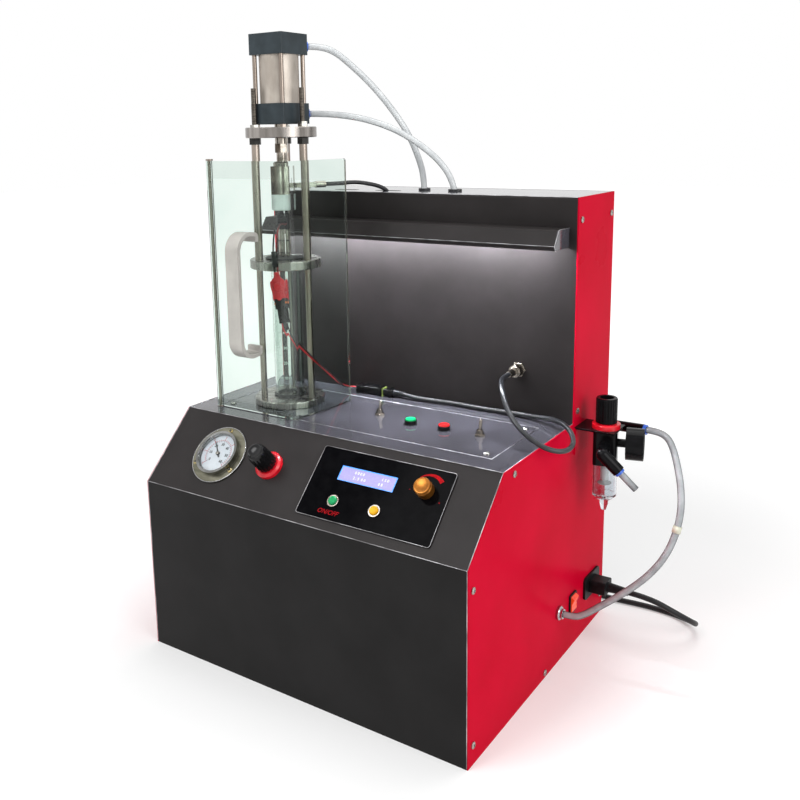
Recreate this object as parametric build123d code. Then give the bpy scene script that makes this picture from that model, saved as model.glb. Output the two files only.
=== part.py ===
"""Bench tester for direct-injection fuel injectors, piece by piece, in millimetres.

The frame has +X to the right, +Y to the back and +Z up. Its origin is the centre
of the cabinet's underside, which rests on the bench.
"""

import math
import os

from build123d import *

# Shared fits
OVERRUN = 5.0
RUNNING_GAP = 0.3
FIXED_GAP = 0.2
BEND_SHARE = 0.45

# Cabinet, folded from sheet
WIDTH = 450.0
DEPTH = 380.0
FRONT_HEIGHT = 218.0
SLOPE_RUN = 78.0
DECK_HEIGHT = 293.5
COLUMN_DEPTH = 116.0
COLUMN_HEIGHT = 562.0
SHEET = 1.5
FOLD_RADIUS = 2.5
FLANGE = 16.0
PAN_FLANGE = 12.0
COLUMN_LAP = 15.0
SPARE_SLOT_X = 102.0
FUEL_SLOT_X = 170.0
SLOT_SETBACK = 83.0
SLOT_LENGTH = 40.0
SLOT_WIDTH = 11.0
VENT_LENGTH = 60.0
VENT_WIDTH = 5.0
VENT_PITCH = 12.0
VENT_COUNT = 8
VENT_HEIGHT = 110.0
VENT_OFFSET = 90.0

# Cabinet screws, each measured from the edges of the side panel that it stands beside
SCREW_HEAD_RADIUS = 3.75
SCREW_HEAD_HEIGHT = 2.2
SCREW_SHANK_RADIUS = 2.0
SCREW_LENGTH = 7.0
FRONT_SCREW_INSET = 9.5
FRONT_SCREW_DROP = 24.0
LOW_SCREW_INSET = 10.4
LOW_SCREW_RISE = 23.0
MIDDLE_SCREW_SHIFT = 1.3
MIDDLE_SCREW_RISE = 7.0
DECK_SCREW_INSET = 23.0
DECK_SCREW_DROP = 8.6
COLUMN_SCREW_INSET = 9.6
COLUMN_SCREW_RISE = 13.9
TOP_SCREW_INSET = 10.0
TOP_SCREW_DROP = 26.0
REAR_SCREW_INSET = 10.0
REAR_SCREW_RISE = 27.5
COLUMN_START = DEPTH - COLUMN_DEPTH
SIDE_SCREWS = [
    (FRONT_SCREW_INSET, FRONT_HEIGHT - FRONT_SCREW_DROP),
    (LOW_SCREW_INSET, LOW_SCREW_RISE),
    (DEPTH / 2 + MIDDLE_SCREW_SHIFT, MIDDLE_SCREW_RISE),
    (SLOPE_RUN + DECK_SCREW_INSET, DECK_HEIGHT - DECK_SCREW_DROP),
    (COLUMN_START + COLUMN_SCREW_INSET, DECK_HEIGHT + COLUMN_SCREW_RISE),
    (COLUMN_START + TOP_SCREW_INSET, COLUMN_HEIGHT - TOP_SCREW_DROP),
    (DEPTH - REAR_SCREW_INSET, COLUMN_HEIGHT - TOP_SCREW_DROP),
    (DEPTH - REAR_SCREW_INSET, REAR_SCREW_RISE),
]

# Inset plate in the deck
PLATE_LEFT = 29.0
PLATE_RIGHT = 420.5
PLATE_FRONT = 107.5
PLATE_BACK = 229.5
PLATE_GAP = 0.5
LEDGE = 8.0
PLATE_SCREW_INSET = 12.0

# Control panel on the slope, measured along X and up the slope
PANEL_LEFT = 229.5
PANEL_RIGHT = 401.4
PANEL_LOW = 11.7
PANEL_HIGH = 95.9
PANEL_THICKNESS = 2.0
PANEL_CORNER = 3.0
PANEL_REST = 8.0
DISPLAY_LEFT = 262.4
DISPLAY_RIGHT = 335.9
DISPLAY_LOW = 59.4
DISPLAY_HIGH = 77.4
DISPLAY_RECESS = 0.8
DISPLAY_RIM = 6.0
DISPLAY_BODY = 8.0
DISPLAY_BOARD = 1.6
BOARD_RIM = 2.5

# Speed knob and its potentiometer
SPEED_X = 374.4
SPEED_UP = 69.3
KNOB_RADIUS = 12.0
KNOB_HEIGHT = 16.0
KNOB_LIFT = 1.0
KNOB_RIBS = 24
KNOB_RIB_DEPTH = 0.7
KNOB_CHAMFER = 1.2
POT_RADIUS = 8.0
POT_DEPTH = 12.0
BUSHING_RADIUS = 4.5
BUSHING_HEIGHT = 4.0
SHAFT_RADIUS = 2.8

# Push buttons on the panel
ON_OFF_X = 270.9
ON_OFF_UP = 33.9
COUNT_X = 324.9
COUNT_UP = 34.4
PUSH_BEZEL_RADIUS = 7.0
PUSH_BEZEL_HEIGHT = 1.5
PUSH_BARREL_RADIUS = 6.0
PUSH_BARREL_DEPTH = 20.0
PUSH_CAP_RADIUS = 5.0
PUSH_CAP_PROUD = 2.5
PUSH_TRAVEL = 2.0
PUSH_CAP_DEPTH = 6.0

# Push buttons on the deck
GREEN_X = 283.1
GREEN_Y = 165.6
RED_X = 328.1
RED_Y = 167.4
DECK_BEZEL_RADIUS = 7.5
DECK_BEZEL_HEIGHT = 2.0
DECK_CAP_RADIUS = 5.5
DECK_CAP_PROUD = 3.5
DECK_TRAVEL = 3.0
DECK_BARREL_RADIUS = 6.5
DECK_BARREL_DEPTH = 24.0

# Toggle switches on the deck
TOGGLE_LEFT_X = 231.3
TOGGLE_LEFT_Y = 176.9
TOGGLE_RIGHT_X = 373.5
TOGGLE_RIGHT_Y = 170.6
TOGGLE_NUT_FLATS = 11.5
TOGGLE_NUT_HEIGHT = 2.4
TOGGLE_NECK_RADIUS = 4.0
TOGGLE_NECK_HEIGHT = 7.0
TOGGLE_BALL_RADIUS = 2.6
TOGGLE_LEVER_LENGTH = 14.5
TOGGLE_TIP_RADIUS = 2.3
TOGGLE_ROOT_RADIUS = 1.4
TOGGLE_TILT = 12.0
TOGGLE_BODY = 13.0
TOGGLE_BODY_DEPTH = 15.0

# Pressure gauge on the slope
GAUGE_X = 87.8
GAUGE_UP = 54.9
GAUGE_FLANGE_RADIUS = 37.35
GAUGE_FLANGE = 2.0
GAUGE_BEZEL_RADIUS = 28.35
GAUGE_BEZEL_HEIGHT = 9.0
GAUGE_CASE_RADIUS = 26.0
GAUGE_CASE_DEPTH = 30.0
GAUGE_DIAL_RADIUS = 24.5
GAUGE_DIAL_LIFT = 3.0
GAUGE_GLASS_SEAT = 7.0
GAUGE_GLASS = 1.5
GAUGE_GLASS_RADIUS = 25.2
GAUGE_STEM_RADIUS = 6.0
GAUGE_STEM = 18.0
GAUGE_ZERO_ANGLE = -135.0
GAUGE_READING_ANGLE = 95.0
DIAL_ZERO_ANGLE = -45.0
NEEDLE_LENGTH = 19.0
NEEDLE_TAIL = 6.0
NEEDLE_WIDTH = 1.6
NEEDLE_THICKNESS = 0.6
NEEDLE_HUB_RADIUS = 2.4
NEEDLE_HUB_HEIGHT = 2.2

# Pressure regulator through the slope
REGULATOR_X = 166.5
REGULATOR_UP = 56.3
REGULATOR_NUT_RADIUS = 17.0
REGULATOR_NUT = 7.0
REGULATOR_NECK_RADIUS = 8.0
REGULATOR_NECK = 20.0
REGULATOR_BODY = 42.0
REGULATOR_BODY_DEPTH = 40.0
REGULATOR_PORT_RADIUS = 7.0
REGULATOR_PORT = 12.0
REGULATOR_KNOB_RADIUS = 12.5
REGULATOR_KNOB_TIP_RADIUS = 11.0
REGULATOR_KNOB_TOP = 50.0
REGULATOR_KNOB_RIBS = 20

# Tower of discs and rods
TOWER_X = 94.3
TOWER_Y = 170.0
DISC_RADIUS = 44.4
BASE_DISC = 8.5
RING_BOTTOM = 471.6
RING_THICKNESS = 10.8
RING_BORE_RADIUS = 22.5
TOP_PLATE_BOTTOM = 634.2
TOP_PLATE = 12.9
TOP_BORE_RADIUS = 12.5
DISC_CHAMFER = 0.8
ROD_CIRCLE = 34.4
ROD_COUNT = 3
LOWER_ROD_RADIUS = 4.0
UPPER_ROD_RADIUS = 5.0
STUD_RADIUS = 3.0
STUD_TOP = 694.0
BLACK_NUT_FLATS = 13.0
BLACK_NUT = 8.0
TOP_NUT_FLATS = 11.0
TOP_NUT = 6.5
THIN_NUT_FLATS = 10.0
THIN_NUT = 3.2

# Glass measuring cylinder and rubber pieces
GLASS_RADIUS = 18.0
GLASS_WALL = 2.5
BASE_SEAL = 2.5
SEAT_THICKNESS = 12.4
SEAT_LIP = 2.0
GROMMET_WALL = 1.5
GROMMET_SLACK = 0.6
GROMMET_DEPTH = 6.5
GROMMET_LIP = 2.5
GROMMET_RIM = 1.5

# Air cylinder on the top plate
CAP_SIDE = 52.0
CAP_HEIGHT = 25.0
CAP_CORNER = 2.0
CYLINDER_LIFT = 3.6
BARREL_LENGTH = 58.2
BARREL_RADIUS = 24.5
BARREL_BORE_RADIUS = 20.0
TIE_OFFSET = 21.0
TIE_RADIUS = 2.8
TIE_NUT_FLATS = 7.0
TIE_SINK = 1.5
PISTON_ROD_RADIUS = 8.0
PISTON_RADIUS = 19.7
PISTON_THICKNESS = 12.0
PISTON_REST = 2.5
CLAMP_TRAVEL = 22.0
PORT_DEPTH = 10.0
FITTING_HEX_FLATS = 14.0
FITTING_HEX = 4.0
FITTING_BODY_RADIUS = 6.5
FITTING_BODY = 8.0
FITTING_OUTLET = 10.0
UPPER_FITTING_TURN = 47.0
LOWER_FITTING_TURN = 55.0
COLLET_RADIUS = 6.0
COLLET = 3.0

# Clamp head under the piston rod
ROD_NUT_TOP = 626.9
ROD_NUT_FLATS = 15.5
ROD_NUT = 11.2
STEM_RADIUS = 6.8
STEM_LENGTH = 11.1
STEM_BOTTOM = ROD_NUT_TOP - ROD_NUT - STEM_LENGTH
COLLAR_WASHER_RADIUS = 10.6
COLLAR_WASHER = 5.6
COLLAR_WASHER_BOTTOM = STEM_BOTTOM - COLLAR_WASHER
ADAPTER_FLATS = 26.0
ADAPTER_CHAMFER = 1.5
ADAPTER_LENGTH = 35.0
ADAPTER_BOTTOM = COLLAR_WASHER_BOTTOM - ADAPTER_LENGTH
WHITE_COLLAR_RADIUS = 14.2
WHITE_COLLAR_LENGTH = 20.0
WHITE_COLLAR_BOTTOM = ADAPTER_BOTTOM - WHITE_COLLAR_LENGTH
WHITE_COLLAR_CHAMFER = 1.0
ARM_AZIMUTH = 58.0
ARM_WIDTH = 10.0
ARM_THICKNESS = 6.0
ARM_RISE = 7.5
ARM_HEIGHT = ADAPTER_BOTTOM + ARM_RISE
ARM_REACH = 42.0
FERRULE_RADIUS = 4.2
FERRULE_LENGTH = 14.0
BOLT_OFFSET = 29.0
BOLT_FLATS = 9.0
BOLT_HEAD = 6.0
BOLT_WASHER_RADIUS = 6.5
BOLT_WASHER = 1.6

# Injector, its profile as (radius, height)
INJECTOR_TIP_RADIUS = 3.0
INJECTOR_NOSE_BOTTOM = 473.0
INJECTOR_SHOULDER = 485.6
INJECTOR_RADIUS = 7.0
INJECTOR_GROOVE_RADIUS = 6.0
INJECTOR_GROOVES = [489.0, 505.0]
GROOVE_WIDTH = 1.6
INJECTOR_METAL_TOP = 520.0
INJECTOR_COIL_RADIUS = 8.5
INJECTOR_COIL_TOP = 541.0
INJECTOR_NECK_RADIUS = 5.5
INJECTOR_TOP = 554.0
SOCKET_AZIMUTH = -62.0
SOCKET_WIDTH = 9.0
SOCKET_HEIGHT = 13.0
SOCKET_REACH = 15.0
SOCKET_MIDDLE = 528.0

# Guard pane, hinged at its front left corner
GUARD_PIN_X = 32.0
GUARD_PIN_Y = 104.5
GUARD_CORNER_X = 155.5
GUARD_CORNER_Y = 104.5
GUARD_WING_X = 166.0
GUARD_WING_Y = 204.3
GUARD_THICKNESS = 4.0
GUARD_BEND_RADIUS = 8.0
GUARD_TOP = 607.5
GUARD_LIFT = 1.0
GUARD_CORNER_ROUND = 3.0
HINGE_TUBE_RADIUS = 4.5
HINGE_PIN_RADIUS = 2.5
HINGE_HEAD = 2.0
HINGE_NUT = 4.0

# Pull handle on the guard
HANDLE_X = 98.5
HANDLE_LOW = 376.5
HANDLE_HIGH = 517.5
HANDLE_FLARE = 6.0
HANDLE_PROUD = 38.0
HANDLE_WIDTH = 20.0
HANDLE_THICKNESS = 5.0
HANDLE_BEND = 20.0
HANDLE_SCREW_RADIUS = 2.0
HANDLE_SCREW_HEAD = 4.0
HANDLE_SCREW_HEAD_HEIGHT = 2.4

# Lamp hood on the column
HOOD_INSET = 11.0
HOOD_DROP = 35.0
HOOD_TOP = COLUMN_HEIGHT - HOOD_DROP
HOOD_TOP_DEPTH = 31.0
HOOD_DEPTH = 43.0
HOOD_NOSE_DROP = 17.0
HOOD_LIP_DROP = 22.5
HOOD_LIP_DEPTH = 40.2
LED_DEPTH = 18.0
LED_WIDTH = 12.0
LED_HEIGHT = 5.0
LED_INSET = 20.0

# Mains inlet, its connector and the lit rocker switch on the right side
INLET_Y = 335.0
INLET_Z = 59.0
INLET_WIDTH = 50.0
INLET_HEIGHT = 30.0
INLET_CORNER = 6.0
INLET_FLANGE = 3.0
INLET_BODY_WIDTH = 29.0
INLET_BODY_HEIGHT = 21.0
INLET_DEPTH = 22.0
INLET_SCREW_PITCH = 40.0
PLUG_WIDTH = 24.0
PLUG_HEIGHT = 16.0
PLUG_NOSE = 14.0
PLUG_REACH = 21.0
PLUG_CORNER = 4.0
RELIEF_LENGTH = 26.0
RELIEF_ROOT_RADIUS = 6.5
RELIEF_TIP_RADIUS = 4.6
ROCKER_Y = 273.2
ROCKER_Z = 59.5
ROCKER_FRAME_WIDTH = 21.5
ROCKER_FRAME_HEIGHT = 26.0
ROCKER_FRAME = 2.0
ROCKER_BODY_DEPTH = 15.5
ROCKER_WIDTH = 15.0
ROCKER_RADIUS = 10.5
ROCKER_DISH = 4.6
ROCKER_DISH_SLOPE = 12.0
ROCKER_TILT = 9.0
ROCKER_PIVOT_DEPTH = 1.5

# Supply port on the right side
PORT_Y = 229.0
PORT_Z = 66.5
PORT_RING_RADIUS = 8.5
PORT_RING = 4.0
PORT_NUT_FLATS = 15.0
PORT_NUT = 5.0
PORT_TAIL = 18.0

# Filter regulator hung on the right side
FILTER_X = 482.0
FILTER_Y = 286.0
FILTER_TWIST = 15.0
FILTER_SIDE = 28.0
FILTER_CORNER = 5.0
FILTER_BOTTOM = 245.0
FILTER_TOP = 287.0
FILTER_RING_RADIUS = 16.5
FILTER_RING = 8.0
FILTER_NECK_RADIUS = 8.0
FILTER_NECK = 20.0
FILTER_KNOB_BOTTOM = 296.0
FILTER_KNOB_TOP = 326.0
FILTER_KNOB_RADIUS = 12.5
FILTER_KNOB_RIBS = 24
FILTER_KNOB_DISH_RADIUS = 8.5
FILTER_KNOB_DISH = 7.0
BOWL_RADIUS = 14.2
BOWL_WALL = 1.8
BOWL_BOTTOM = 200.6
BOWL_LIP = 3.0
DRAIN_RADIUS = 5.0
DRAIN_TIP_RADIUS = 3.0
DRAIN_BOTTOM = 185.7
BRACKET_WIDTH = 40.0
BRACKET_SHEET = 2.0
BRACKET_DROP = 34.0
BRACKET_FOLD = 3.0
DIAL_Z = 271.0
DIAL_BACK = 23.5
DIAL_FRONT = 44.0
DIAL_RADIUS = 19.2
DIAL_NIPPLE_RADIUS = 5.0
DIAL_FACE_RADIUS = 17.0
DIAL_FACE_DEPTH = 4.0
DIAL_NEEDLE = 13.0
DIAL_HUB_RADIUS = 2.0
DIAL_HUB = 1.6
ELBOW_OFFSET = 38.0
ELBOW_Z = 268.0
ELBOW_RADIUS = 7.5
ELBOW_FALL = 45.0
ELBOW_REACH = 26.0
ELBOW_NUT_FLATS = 13.0
ELBOW_NUT = 5.0
STUB_LENGTH = 37.0
STUB_SOCKET = 12.0
TEE_OFFSET = 44.0
TEE_Z = 279.0
TEE_RADIUS = 7.5
TEE_TURN = 22.0
TEE_RISE = 3.0
TEE_REACH = 46.0
TEE_NIPPLE_RADIUS = 6.0
VALVE_RADIUS = 4.8
VALVE_BOTTOM = 281.0
VALVE_TOP = 304.0
VALVE_CAP_RADIUS = 4.6
VALVE_CAP = 10.5
VALVE_CAP_RIBS = 12

# Flexible lines, as radii
AIR_HOSE_RADIUS = 4.0
FUEL_HOSE_RADIUS = 2.75
WIRE_RADIUS = 1.0
CABLE_RADIUS = 2.9
LEAD_RADIUS = 3.5

# Connectors on the harness
BOOT_NECK_RADIUS = 3.4
BOOT_WIDTH = 18.0
BOOT_THICKNESS = 12.0
BOOT_HEIGHT = 33.0
BOOT_NECK = 9.0
TESTER_PLUG_WIDTH = 14.0
TESTER_PLUG_THICKNESS = 10.0
TESTER_PLUG_HEIGHT = 24.0
SEALED_X = 150.4
SEALED_Y = 247.8
SEALED_TURN = 3.0
SEALED_WIDTH = 13.0
SEALED_HEIGHT = 11.0
SEALED_LENGTH = 54.0
SEALED_LATCH = 2.0
WALL_PLUG_Z = 351.5
WALL_PLUG_X = 378.3
WALL_NUT_RADIUS = 8.0
WALL_NUT = 3.0
WALL_RING_RADIUS = 6.2
WALL_RING = 14.0
WALL_RELIEF = 12.0
WALL_RING_RIBS = 16

# Coil of the mains lead behind the cabinet
COIL_X = 292.0
COIL_Y = 458.0
COIL_OUTER_RADIUS = 47.0
COIL_TURNS_A_LAYER = 2.5
COIL_PITCH = 7.7
COIL_LAYER = 7.7
COIL_TAIL = 44.0
QUARTERS_A_TURN = 4
COIL_SAMPLES = 600
MAINS_PLUG_LENGTH = 42.0
MAINS_PLUG_WIDTH = 30.0
MAINS_PLUG_CORNER = 5.0
MAINS_PIN_RADIUS = 2.4
MAINS_PIN_LENGTH = 19.0
MAINS_PIN_PITCH = 19.0

# Inside the base
TANK_WIDTH = 120.0
TANK_DEPTH = 170.0
TANK_HEIGHT = 120.0
TANK_X = 85.0
TANK_Y = 205.0
TANK_CORNER = 8.0
TANK_CAP_RADIUS = 18.0
TANK_CAP = 14.0
TANK_FOOT = 6.0
PUMP_X = 215.0
PUMP_Y = 210.0
MOTOR_RADIUS = 32.0
MOTOR_LENGTH = 110.0
MOTOR_Z = 45.0
MOTOR_FINS = 5
MOTOR_FIN = 2.0
PUMP_SIDE = 56.0
PUMP_LENGTH = 40.0
PUMP_PORT_RADIUS = 8.0
PUMP_PORT = 16.0
PUMP_FOOT = 5.0
PUMP_FOOT_WIDTH = 76.0
SUPPLY_X = 340.0
SUPPLY_Y = 165.0
SUPPLY_WIDTH = 98.0
SUPPLY_LENGTH = 190.0
SUPPLY_HEIGHT = 40.0
SUPPLY_LIFT = 5.0
SUPPLY_SLOTS = 7
SUPPLY_SLOT = 3.0
SUPPLY_TERMINAL = 12.0

# Places worked out from the driving sizes
HALF_WIDTH = WIDTH / 2
HALF_DEPTH = DEPTH / 2
COLUMN_FRONT = HALF_DEPTH - COLUMN_DEPTH
INNER = HALF_WIDTH - SHEET
SLOPE_RISE = DECK_HEIGHT - FRONT_HEIGHT
SLOPE = Plane(
    origin=(-HALF_WIDTH, -HALF_DEPTH, FRONT_HEIGHT),
    x_dir=(1, 0, 0),
    z_dir=(0, -SLOPE_RISE, SLOPE_RUN),
).location
TOWER = Pos(TOWER_X - HALF_WIDTH, TOWER_Y - HALF_DEPTH, 0)
BASE_TOP = DECK_HEIGHT + BASE_DISC
RING_TOP = RING_BOTTOM + RING_THICKNESS
TOP_PLATE_TOP = TOP_PLATE_BOTTOM + TOP_PLATE
LOWER_CAP = TOP_PLATE_TOP + CYLINDER_LIFT
BARREL_BOTTOM = LOWER_CAP + CAP_HEIGHT
BARREL_TOP = BARREL_BOTTOM + BARREL_LENGTH
UPPER_CAP_TOP = BARREL_TOP + CAP_HEIGHT
HOSE_LOW = LOWER_CAP + CAP_HEIGHT / 2
HOSE_HIGH = BARREL_TOP + CAP_HEIGHT / 2
GAUGE_PLACE = SLOPE * Pos(GAUGE_X, GAUGE_UP, 0)
REGULATOR_PLACE = SLOPE * Pos(REGULATOR_X, REGULATOR_UP, 0)
FILTER_PLACE = Pos(FILTER_X - HALF_WIDTH, FILTER_Y - HALF_DEPTH, 0) * Rot(0, 0, FILTER_TWIST)
DECK_PLACES = {
    "toggle_left": Pos(TOGGLE_LEFT_X - HALF_WIDTH, TOGGLE_LEFT_Y - HALF_DEPTH, DECK_HEIGHT),
    "toggle_right": Pos(TOGGLE_RIGHT_X - HALF_WIDTH, TOGGLE_RIGHT_Y - HALF_DEPTH, DECK_HEIGHT),
    "green": Pos(GREEN_X - HALF_WIDTH, GREEN_Y - HALF_DEPTH, DECK_HEIGHT),
    "red": Pos(RED_X - HALF_WIDTH, RED_Y - HALF_DEPTH, DECK_HEIGHT),
}
PANEL_PLACES = {
    "on_off": SLOPE * Pos(ON_OFF_X, ON_OFF_UP, PANEL_THICKNESS),
    "count": SLOPE * Pos(COUNT_X, COUNT_UP, PANEL_THICKNESS),
    "speed": SLOPE * Pos(SPEED_X, SPEED_UP, PANEL_THICKNESS),
}

# Hand-chosen points of the flexible lines between the runs that leave each fitting squarely
HOSE_RUN = 16.0
LOWER_HOSE_RUN = 24.0
PORT_RUN = 13.0
FUEL_RUN = 20.0
WIRE_RUN = 8.0
CABLE_RUN = 15.0
LEAD_RUN = 28.0
COIL_RUN = 38.0
UPPER_AIR_POINTS = [
    (-96.0, 50.5, 740.0),
    (-83.0, 64.0, 725.0),
    (-65.0, 82.0, 702.0),
    (-45.0, 101.0, 670.0),
    (-27.0, 117.5, 634.0),
    (-16.5, 127.7, 597.0),
    (-13.5, 130.5, 577.0),
    (-12.3, 131.7, 548.0),
]
LOWER_AIR_POINTS = [
    (-62.0, 63.5, 656.5),
    (-27.0, 86.0, 641.5),
    (2.0, 104.5, 619.0),
    (22.0, 117.0, 597.5),
    (34.0, 124.5, 574.0),
    (38.7, 127.6, 547.0),
]
FUEL_POINTS = [
    (-79.5, 64.0, 575.3),
    (-71.5, 80.0, 573.0),
    (-63.0, 95.3, 569.2),
    (-56.3, 107.0, 562.5),
    (-53.3, 112.2, 550.0),
    (-52.8, 113.0, 534.0),
]
SUPPLY_POINTS = [
    (321.0, 124.5, 280.0),
    (331.0, 113.5, 272.5),
    (341.0, 99.0, 258.0),
    (350.0, 86.0, 236.0),
    (354.0, 76.0, 211.5),
    (351.5, 67.0, 186.0),
    (343.0, 60.0, 160.5),
    (328.0, 55.5, 137.0),
    (309.0, 51.0, 116.5),
    (290.0, 47.5, 99.5),
    (272.0, 44.0, 84.5),
    (257.0, 40.5, 72.5),
]
RED_PIGTAIL_POINTS = [
    (-114.8, -47.3, 528.3),
    (-111.3, -55.5, 522.5),
    (-110.2, -59.3, 511.0),
    (-110.9, -60.3, 495.0),
]
BLACK_PIGTAIL_POINTS = [
    (-118.5, -49.3, 527.8),
    (-115.0, -57.3, 521.8),
    (-113.8, -61.3, 510.0),
    (-114.3, -62.4, 494.5),
]
RED_WIRE_POINTS = [
    (-97.0, -61.5, 391.5),
    (-93.0, -50.0, 379.0),
    (-87.0, -34.5, 361.5),
    (-84.0, -15.0, 344.0),
    (-86.0, 9.0, 326.0),
    (-90.0, 27.0, 313.5),
    (-92.0, 39.0, 306.5),
    (-92.0, 49.5, 301.5),
    (-89.0, 56.0, 299.5),
]
BLACK_WIRE_POINTS = [
    (-93.5, -58.5, 391.0),
    (-89.5, -46.5, 377.0),
    (-83.5, -31.0, 359.0),
    (-80.0, -11.5, 341.0),
    (-82.0, 12.0, 323.5),
    (-86.5, 29.0, 311.5),
    (-88.7, 38.5, 305.5),
    (-88.8, 47.3, 301.0),
    (-86.5, 53.0, 299.3),
]
CABLE_POINTS = [
    (12.0, 59.0, 297.8),
    (38.0, 62.5, 296.9),
    (72.0, 66.0, 297.1),
    (110.0, 64.5, 296.8),
    (147.0, 66.5, 297.1),
    (180.0, 63.0, 298.2),
    (206.0, 52.0, 303.0),
    (226.0, 38.0, 305.0),
    (243.0, 22.0, 301.5),
    (254.0, 3.0, 295.5),
    (253.0, -17.0, 292.0),
    (238.0, -31.0, 295.5),
    (218.0, -35.5, 306.0),
    (199.0, -32.0, 319.0),
    (183.0, -21.5, 332.0),
    (170.0, -6.0, 344.5),
    (159.5, 11.5, 350.5),
]
LEAD_POINTS = [
    (334.0, 153.0, 44.0),
    (352.0, 176.0, 24.0),
    (345.0, 206.0, 8.0),
    (316.0, 222.0, 3.6),
    (276.0, 224.5, 3.9),
    (232.0, 219.0, 3.7),
    (190.0, 219.6, 3.9),
    (148.0, 220.5, 3.7),
]
BOOT_TOP = (-110.4, -62.2, 471.5)
BOOT_END = (-99.0, -65.3, 409.0)
PIGTAIL_OFFSET = 2.0
WIRE_OFFSET = 1.7


def block(low, high):
    """Box between two corners."""
    size = [b - a for a, b in zip(low, high)]
    middle = [(a + b) / 2 for a, b in zip(low, high)]
    return Pos(*middle) * Box(*size)


def bar(place, radius, start, end):
    """Round bar on a place's Z axis, between two heights."""
    return place * Pos(0, 0, (start + end) / 2) * Cylinder(radius, end - start)


def ring(place, radius, bore, start, end):
    """Round bar with a through bore."""
    return bar(place, radius, start, end) - bar(place, bore, start - OVERRUN, end + OVERRUN)


def hexagon(place, flats, start, end):
    """Hexagonal bar measured across its flats."""
    face = Pos(0, 0, start) * RegularPolygon(flats / 2, 6, major_radius=False)
    return place * extrude(face, end - start)


def turned(place, outline):
    """Solid of revolution on a place's Z axis, from (radius, height) points."""
    edges = Polyline(*[(radius, 0, height) for radius, height in outline], close=True)
    return place * revolve(make_face(edges.edges()), Axis.Z)


def slab(place, low, high, start, end, corner=0.0):
    """Plate on a place's XY plane between two corners, with rounded corners."""
    width = high[0] - low[0]
    height = high[1] - low[1]
    middle = Pos((low[0] + high[0]) / 2, (low[1] + high[1]) / 2, start)
    face = RectangleRounded(width, height, corner) if corner else Rectangle(width, height)
    return place * extrude(middle * face, end - start)


def prism(outline, low, high):
    """Solid between two X planes from (y, z) outline points."""
    face = make_face(Polyline(*outline, close=True).edges())
    return Plane.YZ.location * Pos(0, 0, low) * extrude(face, high - low)


def folded(route, low, high, inset=0.0, depth=SHEET, bend=FOLD_RADIUS):
    """Sheet folded along (y, z) points that follow its outer face, between two X planes."""
    line = FilletPolyline(*route, radius=bend)
    outer = make_face(offset(line, inset + depth, side=Side.RIGHT))
    if inset:
        outer = outer - make_face(offset(line, inset, side=Side.RIGHT))
    return Plane.YZ.location * Pos(0, 0, low) * extrude(outer, high - low)


def ribbed(place, radius, depth, count, start, end):
    """Grip of shallow round-bottomed ribs round a place's Z axis."""
    tip = radius
    root = radius - depth
    step = 360.0 / count
    points = []
    for index in range(count):
        for share, reach in ((0.0, tip), (0.45, tip), (0.55, root), (0.9, root)):
            angle = math.radians(step * (index + share))
            points.append((reach * math.cos(angle), reach * math.sin(angle), start))
    face = make_face(Polyline(*points, close=True).edges())
    return place * extrude(face, end - start)


def wall_place(x, z):
    """Place on the column's front, facing forward."""
    return Plane(origin=(x - HALF_WIDTH, COLUMN_FRONT, z), x_dir=(1, 0, 0), z_dir=(0, -1, 0)).location


def side_place(y, z, side=1):
    """Place on a side panel's outer face, facing outward: side is 1 right, -1 left."""
    return Plane(
        origin=(side * HALF_WIDTH, y - HALF_DEPTH, z),
        x_dir=(0, side, 0),
        z_dir=(side, 0, 0),
    ).location


def flexible(name, route, radius):
    """Flexible line: straight runs joined by the largest arcs that the runs allow."""
    points = [Vector(point) for point in route]
    radii = []
    for before, corner, after in zip(points, points[1:], points[2:]):
        run_in = corner - before
        run_out = after - corner
        turn = math.radians(run_in.get_angle(run_out))
        radii.append(BEND_SHARE * min(run_in.length, run_out.length) / math.tan(turn / 2))
    path = FilletPolyline(*points, radius=radii)
    section = Plane(origin=path @ 0, z_dir=path % 0) * Circle(radius)
    line = sweep(section, path=path)
    ratio = line.volume / (math.pi * radius**2 * path.length)
    tightest = min(radii) / (2 * radius)
    print(f"{name}: length {path.length:.0f}, tightest bend {tightest:.1f} diameters, volume {ratio:.4f}")
    return line


def lead_in(place, run):
    """First two points of a line that leaves a face squarely, along the place's Z axis."""
    return [place.position, (place * Pos(0, 0, run)).position]


def lead_out(place, run):
    """Last two points of a line that arrives at a face squarely."""
    return lead_in(place, run)[::-1]


def obround(x, y, azimuth, length, width, start, end):
    """Upright obround peg, for a slot or what fills it."""
    face = Pos(x, y, start) * Rot(0, 0, azimuth) * SlotOverall(length, width)
    return extrude(face, end - start)


def upper_air_route():
    """Points of the upper air hose."""
    start = fitting_outlet(HOSE_HIGH, UPPER_FITTING_TURN) * Pos(0, 0, FITTING_OUTLET + COLLET)
    return lead_in(start, HOSE_RUN) + UPPER_AIR_POINTS


def lower_air_route():
    """Points of the lower air hose."""
    start = fitting_outlet(HOSE_LOW, LOWER_FITTING_TURN) * Pos(0, 0, FITTING_OUTLET + COLLET)
    return lead_in(start, LOWER_HOSE_RUN) + LOWER_AIR_POINTS


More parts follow.
